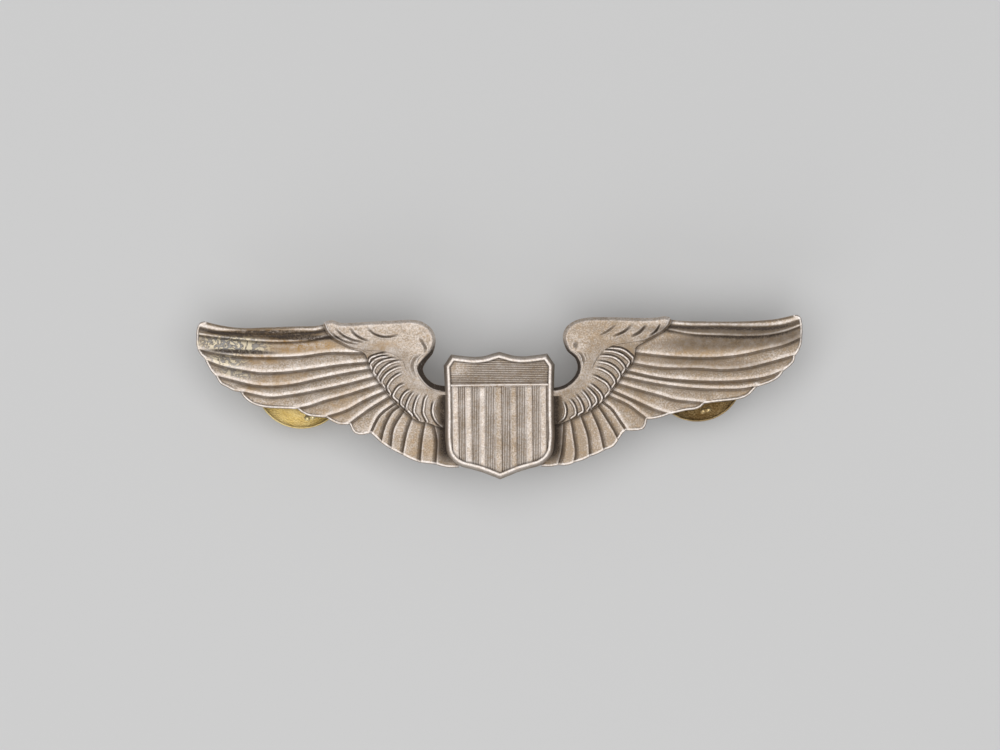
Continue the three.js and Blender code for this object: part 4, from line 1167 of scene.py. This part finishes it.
def hub_shell(centre):
    """Two skins half a wall's thickness to each side of the turned middle line, with
    the slots' cells left out, and walls round every edge that is left."""
    line = np.array(HUB_LINE)
    slope = np.gradient(line, axis=0)
    slope /= np.linalg.norm(slope, axis=1)[:, None]
    across = np.column_stack([slope[:, 1], -slope[:, 0]])
    across[0] = (0, -1)
    angle = np.arange(HUB_SEGMENTS) * 2 * np.pi / HUB_SEGMENTS
    skins = []
    for hand in (1, -1):
        radius, high = (line + hand * HUB_WALL / 2 * across).T
        radius[0] = HUB_HOLE
        skins.append(np.stack([centre[0] + radius[:, None] * np.cos(angle),
                               centre[1] + radius[:, None] * np.sin(angle),
                               np.broadcast_to(high[:, None], (len(line), HUB_SEGMENTS))], axis=-1))
    rows = len(line)
    middle_z = (line[:-1, 1] + line[1:, 1]) / 2
    middle_angle = angle + np.pi / HUB_SEGMENTS
    slot_angle = math.asin(SLOT_HALF / HUB_RADIUS)
    in_slot = np.abs(np.sin(middle_angle)) > math.cos(slot_angle)
    kept = ~(in_slot & ((middle_z > SLOT_LOW) & (middle_z < SLOT_HIGH))[:, None])
    number = np.arange(rows * HUB_SEGMENTS).reshape(rows, HUB_SEGMENTS)
    beside = np.roll(number, -1, axis=1)
    a, b, c, d = number[:-1], beside[:-1], beside[1:], number[1:]
    inner = rows * HUB_SEGMENTS
    faces = np.stack([a, b, c, d], axis=-1)[kept].tolist()
    faces += (np.stack([d, c, b, a], axis=-1)[kept] + inner).tolist()
    empty = np.zeros((1, HUB_SEGMENTS), bool)
    for start, end, neighbour in (
        (b, a, np.concatenate([empty, kept[:-1]])), (d, c, np.concatenate([kept[1:], empty])),
        (a, d, np.roll(kept, 1, axis=1)), (c, b, np.roll(kept, -1, axis=1)),
    ):
        edge = kept & ~neighbour
        e, f = start[edge], end[edge]
        faces += np.stack([e, f, f + inner, e + inner], axis=-1).tolist()
    return np.concatenate([skin.reshape(-1, 3) for skin in skins]), faces


for side in ("left", "right"):
    hub = add_piece(f"{side}_hub", *hub_shell(middle_of(f"{side}_clutch_hub")), f"{side}_clutch",
                    "clutch_brass", brass[side])
    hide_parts(f"{side}_clutch_hub")
    paint(hub, wear=BRASS_WEAR)


# ---- The ears -------------------------------------------------------------------------
# Two bent tabs of spring brass on each clutch. Their rounded outer ends are pinched
# between finger and thumb, and their inner ends are jaws with a half-round notch.

EAR_LINE = [
    (0.2, 4.45), (1.0, 4.45), (1.45, 4.2), (2.45, 3.1), (3.0, 2.2), (3.6, 1.25),
    (4.0, 0.6), (4.3, 0.27), (4.65, 0.2), (5.0, 0.27), (5.3, 0.42),
]
EAR_SHEET = 0.4
EAR_WIDTHS = [(0, 0.9), (2.95, 0.9), (3.4, 1.25), (3.8, 1.95), (4.15, 2.38), (4.5, 2.5), (5.5, 2.5)]
EAR_END = 5.3
TAB_STARTS = 4.4
JAW_NOTCH = 0.61  # the radius of the notch that grips the post
JAW_LEAST = 0.2  # the jaw's corners reach in this near to the axis
EAR_ACROSS, EAR_ALONG = 33, 56
FINE_STEPS = 300


def ear_shell(centre, hand):
    """A bent sheet: v runs across from -1 to 1 and u out along it. The middle line gives
    height against distance, the widths give half-breadth, and both ends are trimmed to
    curves in v. Two skins lie half the sheet's thickness to each side."""
    v = np.sin(np.linspace(-1, 1, EAR_ACROSS) * np.pi / 2)
    u = np.linspace(0, 1, EAR_ALONG)[:, None]
    jaw_half = EAR_WIDTHS[0][1]
    jaw = np.sqrt(np.clip(JAW_NOTCH**2 - (jaw_half * v) ** 2, JAW_LEAST**2, None))
    end = TAB_STARTS + (EAR_END - TAB_STARTS) * np.sqrt(1 - 0.98 * v**2)
    along = jaw + u * (end - jaw)
    line = sampled(EAR_LINE, FINE_STEPS)
    widths = np.array(EAR_WIDTHS)
    reach = widths[-1, 0]
    half = smooth_line(widths, np.linspace(0, 1, FINE_STEPS), widths[:, 0] / reach)[:, 1]
    half = np.interp(along, np.linspace(0, reach, FINE_STEPS), half)
    high = np.interp(along, line[:, 0], line[:, 1])
    slope = np.gradient(line[:, 1], line[:, 0])
    slope = np.interp(along, line[:, 0], slope)
    tilt = 1 / np.sqrt(1 + slope**2)
    skins = []
    for side_hand in (1, -1):
        shift = side_hand * EAR_SHEET / 2
        out = along - shift * slope * tilt
        skins.append(np.stack([centre[0] - hand * half * v, centre[1] + hand * out,
                               high + shift * tilt], axis=-1))
    top, low = skins
    rows, cols = top.shape[:2]
    number = np.arange(rows * cols).reshape(rows, cols)
    loop = np.concatenate([number[0, :-1], number[:-1, -1], number[-1, :0:-1], number[:0:-1, 0]])
    faces = grid_faces(rows, cols) + grid_faces(rows, cols, flip=True, first=rows * cols)
    under = loop + rows * cols
    faces += np.stack([np.roll(loop, -1), loop, under, np.roll(under, -1)], axis=1).tolist()
    return np.concatenate([top.reshape(-1, 3), low.reshape(-1, 3)]), faces


spring_brass = aged_finish(
    "dull_spring_brass", masks=(), grain_deep=TURNED_GRAIN, wear=0.35, roughness=0.33,
    worn_color=(0.66, 0.54, 0.28, 1), patina_color=(0.45, 0.34, 0.15, 1),
    stain_color=(0.3, 0.2, 0.08, 1), soil_color=(0.1, 0.06, 0.03, 1))
for side in ("left", "right"):
    for place, hand in (("upper", 1), ("lower", -1)):
        ear = add_piece(f"{side}_ear_{place}", *ear_shell(middle_of(f"{side}_clutch_disc"), hand),
                        f"{side}_{place}_ear", "spring_brass", spring_brass)
        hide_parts(f"{side}_clutch_ear_{place}")


# ---- The springs ----------------------------------------------------------------------
# A hairpin of spring wire inside each hub. Its two straight legs bear on the backs of
# the jaws and close them on the post, and its bow goes round one side.

WIRE_RADIUS = 0.18
WIRE_Z = 4.72
LEG_Y = 1.8
BOW_RADIUS = 2.035
LEG_BEND, LEG_END = -0.85, -1.15  # the legs' tips turn in a little past the bend


def wire_tube(line, radius, sides=14):
    """A round wire along a level line: at each place a circle in the plane that stands
    across the line there. Flat ends close it."""
    ahead = np.gradient(line, axis=0)
    ahead /= np.linalg.norm(ahead, axis=1)[:, None]
    beside = np.column_stack([-ahead[:, 1], ahead[:, 0], 0 * ahead[:, 0]])
    turn = np.arange(sides) * 2 * np.pi / sides
    ring = np.cos(turn)[:, None] * beside[:, None] + np.sin(turn)[:, None] * (0, 0, 1)
    points = line[:, None] + radius * ring
    number = np.arange(len(line) * sides).reshape(-1, sides)
    next_one = np.roll(number, -1, axis=1)
    faces = np.stack([number[:-1], next_one[:-1], next_one[1:], number[1:]], axis=-1)
    caps = [number[0, ::-1].tolist(), number[-1].tolist()]
    return points.reshape(-1, 3), faces.reshape(-1, 4).tolist() + caps


meet = math.asin(LEG_Y / BOW_RADIUS)
spring_route = [(LEG_END, LEG_Y - 0.12), (LEG_BEND, LEG_Y), (0, LEG_Y)]
spring_route += [(BOW_RADIUS * math.cos(angle), BOW_RADIUS * math.sin(angle))
                 for angle in np.linspace(meet, -meet, 9)]
spring_route += [(0, -LEG_Y), (LEG_BEND, -LEG_Y), (LEG_END, 0.12 - LEG_Y)]
for side in ("left", "right"):
    centre = middle_of(f"{side}_clutch_disc")
    flat = sampled(spring_route, 120) + centre
    route = np.column_stack([flat, np.full(len(flat), WIRE_Z)])
    spring = add_piece(f"{side}_spring", *wire_tube(route, WIRE_RADIUS), f"{side}_clutch",
                       "spring_brass", spring_brass)
    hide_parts(f"{side}_clutch_spring")
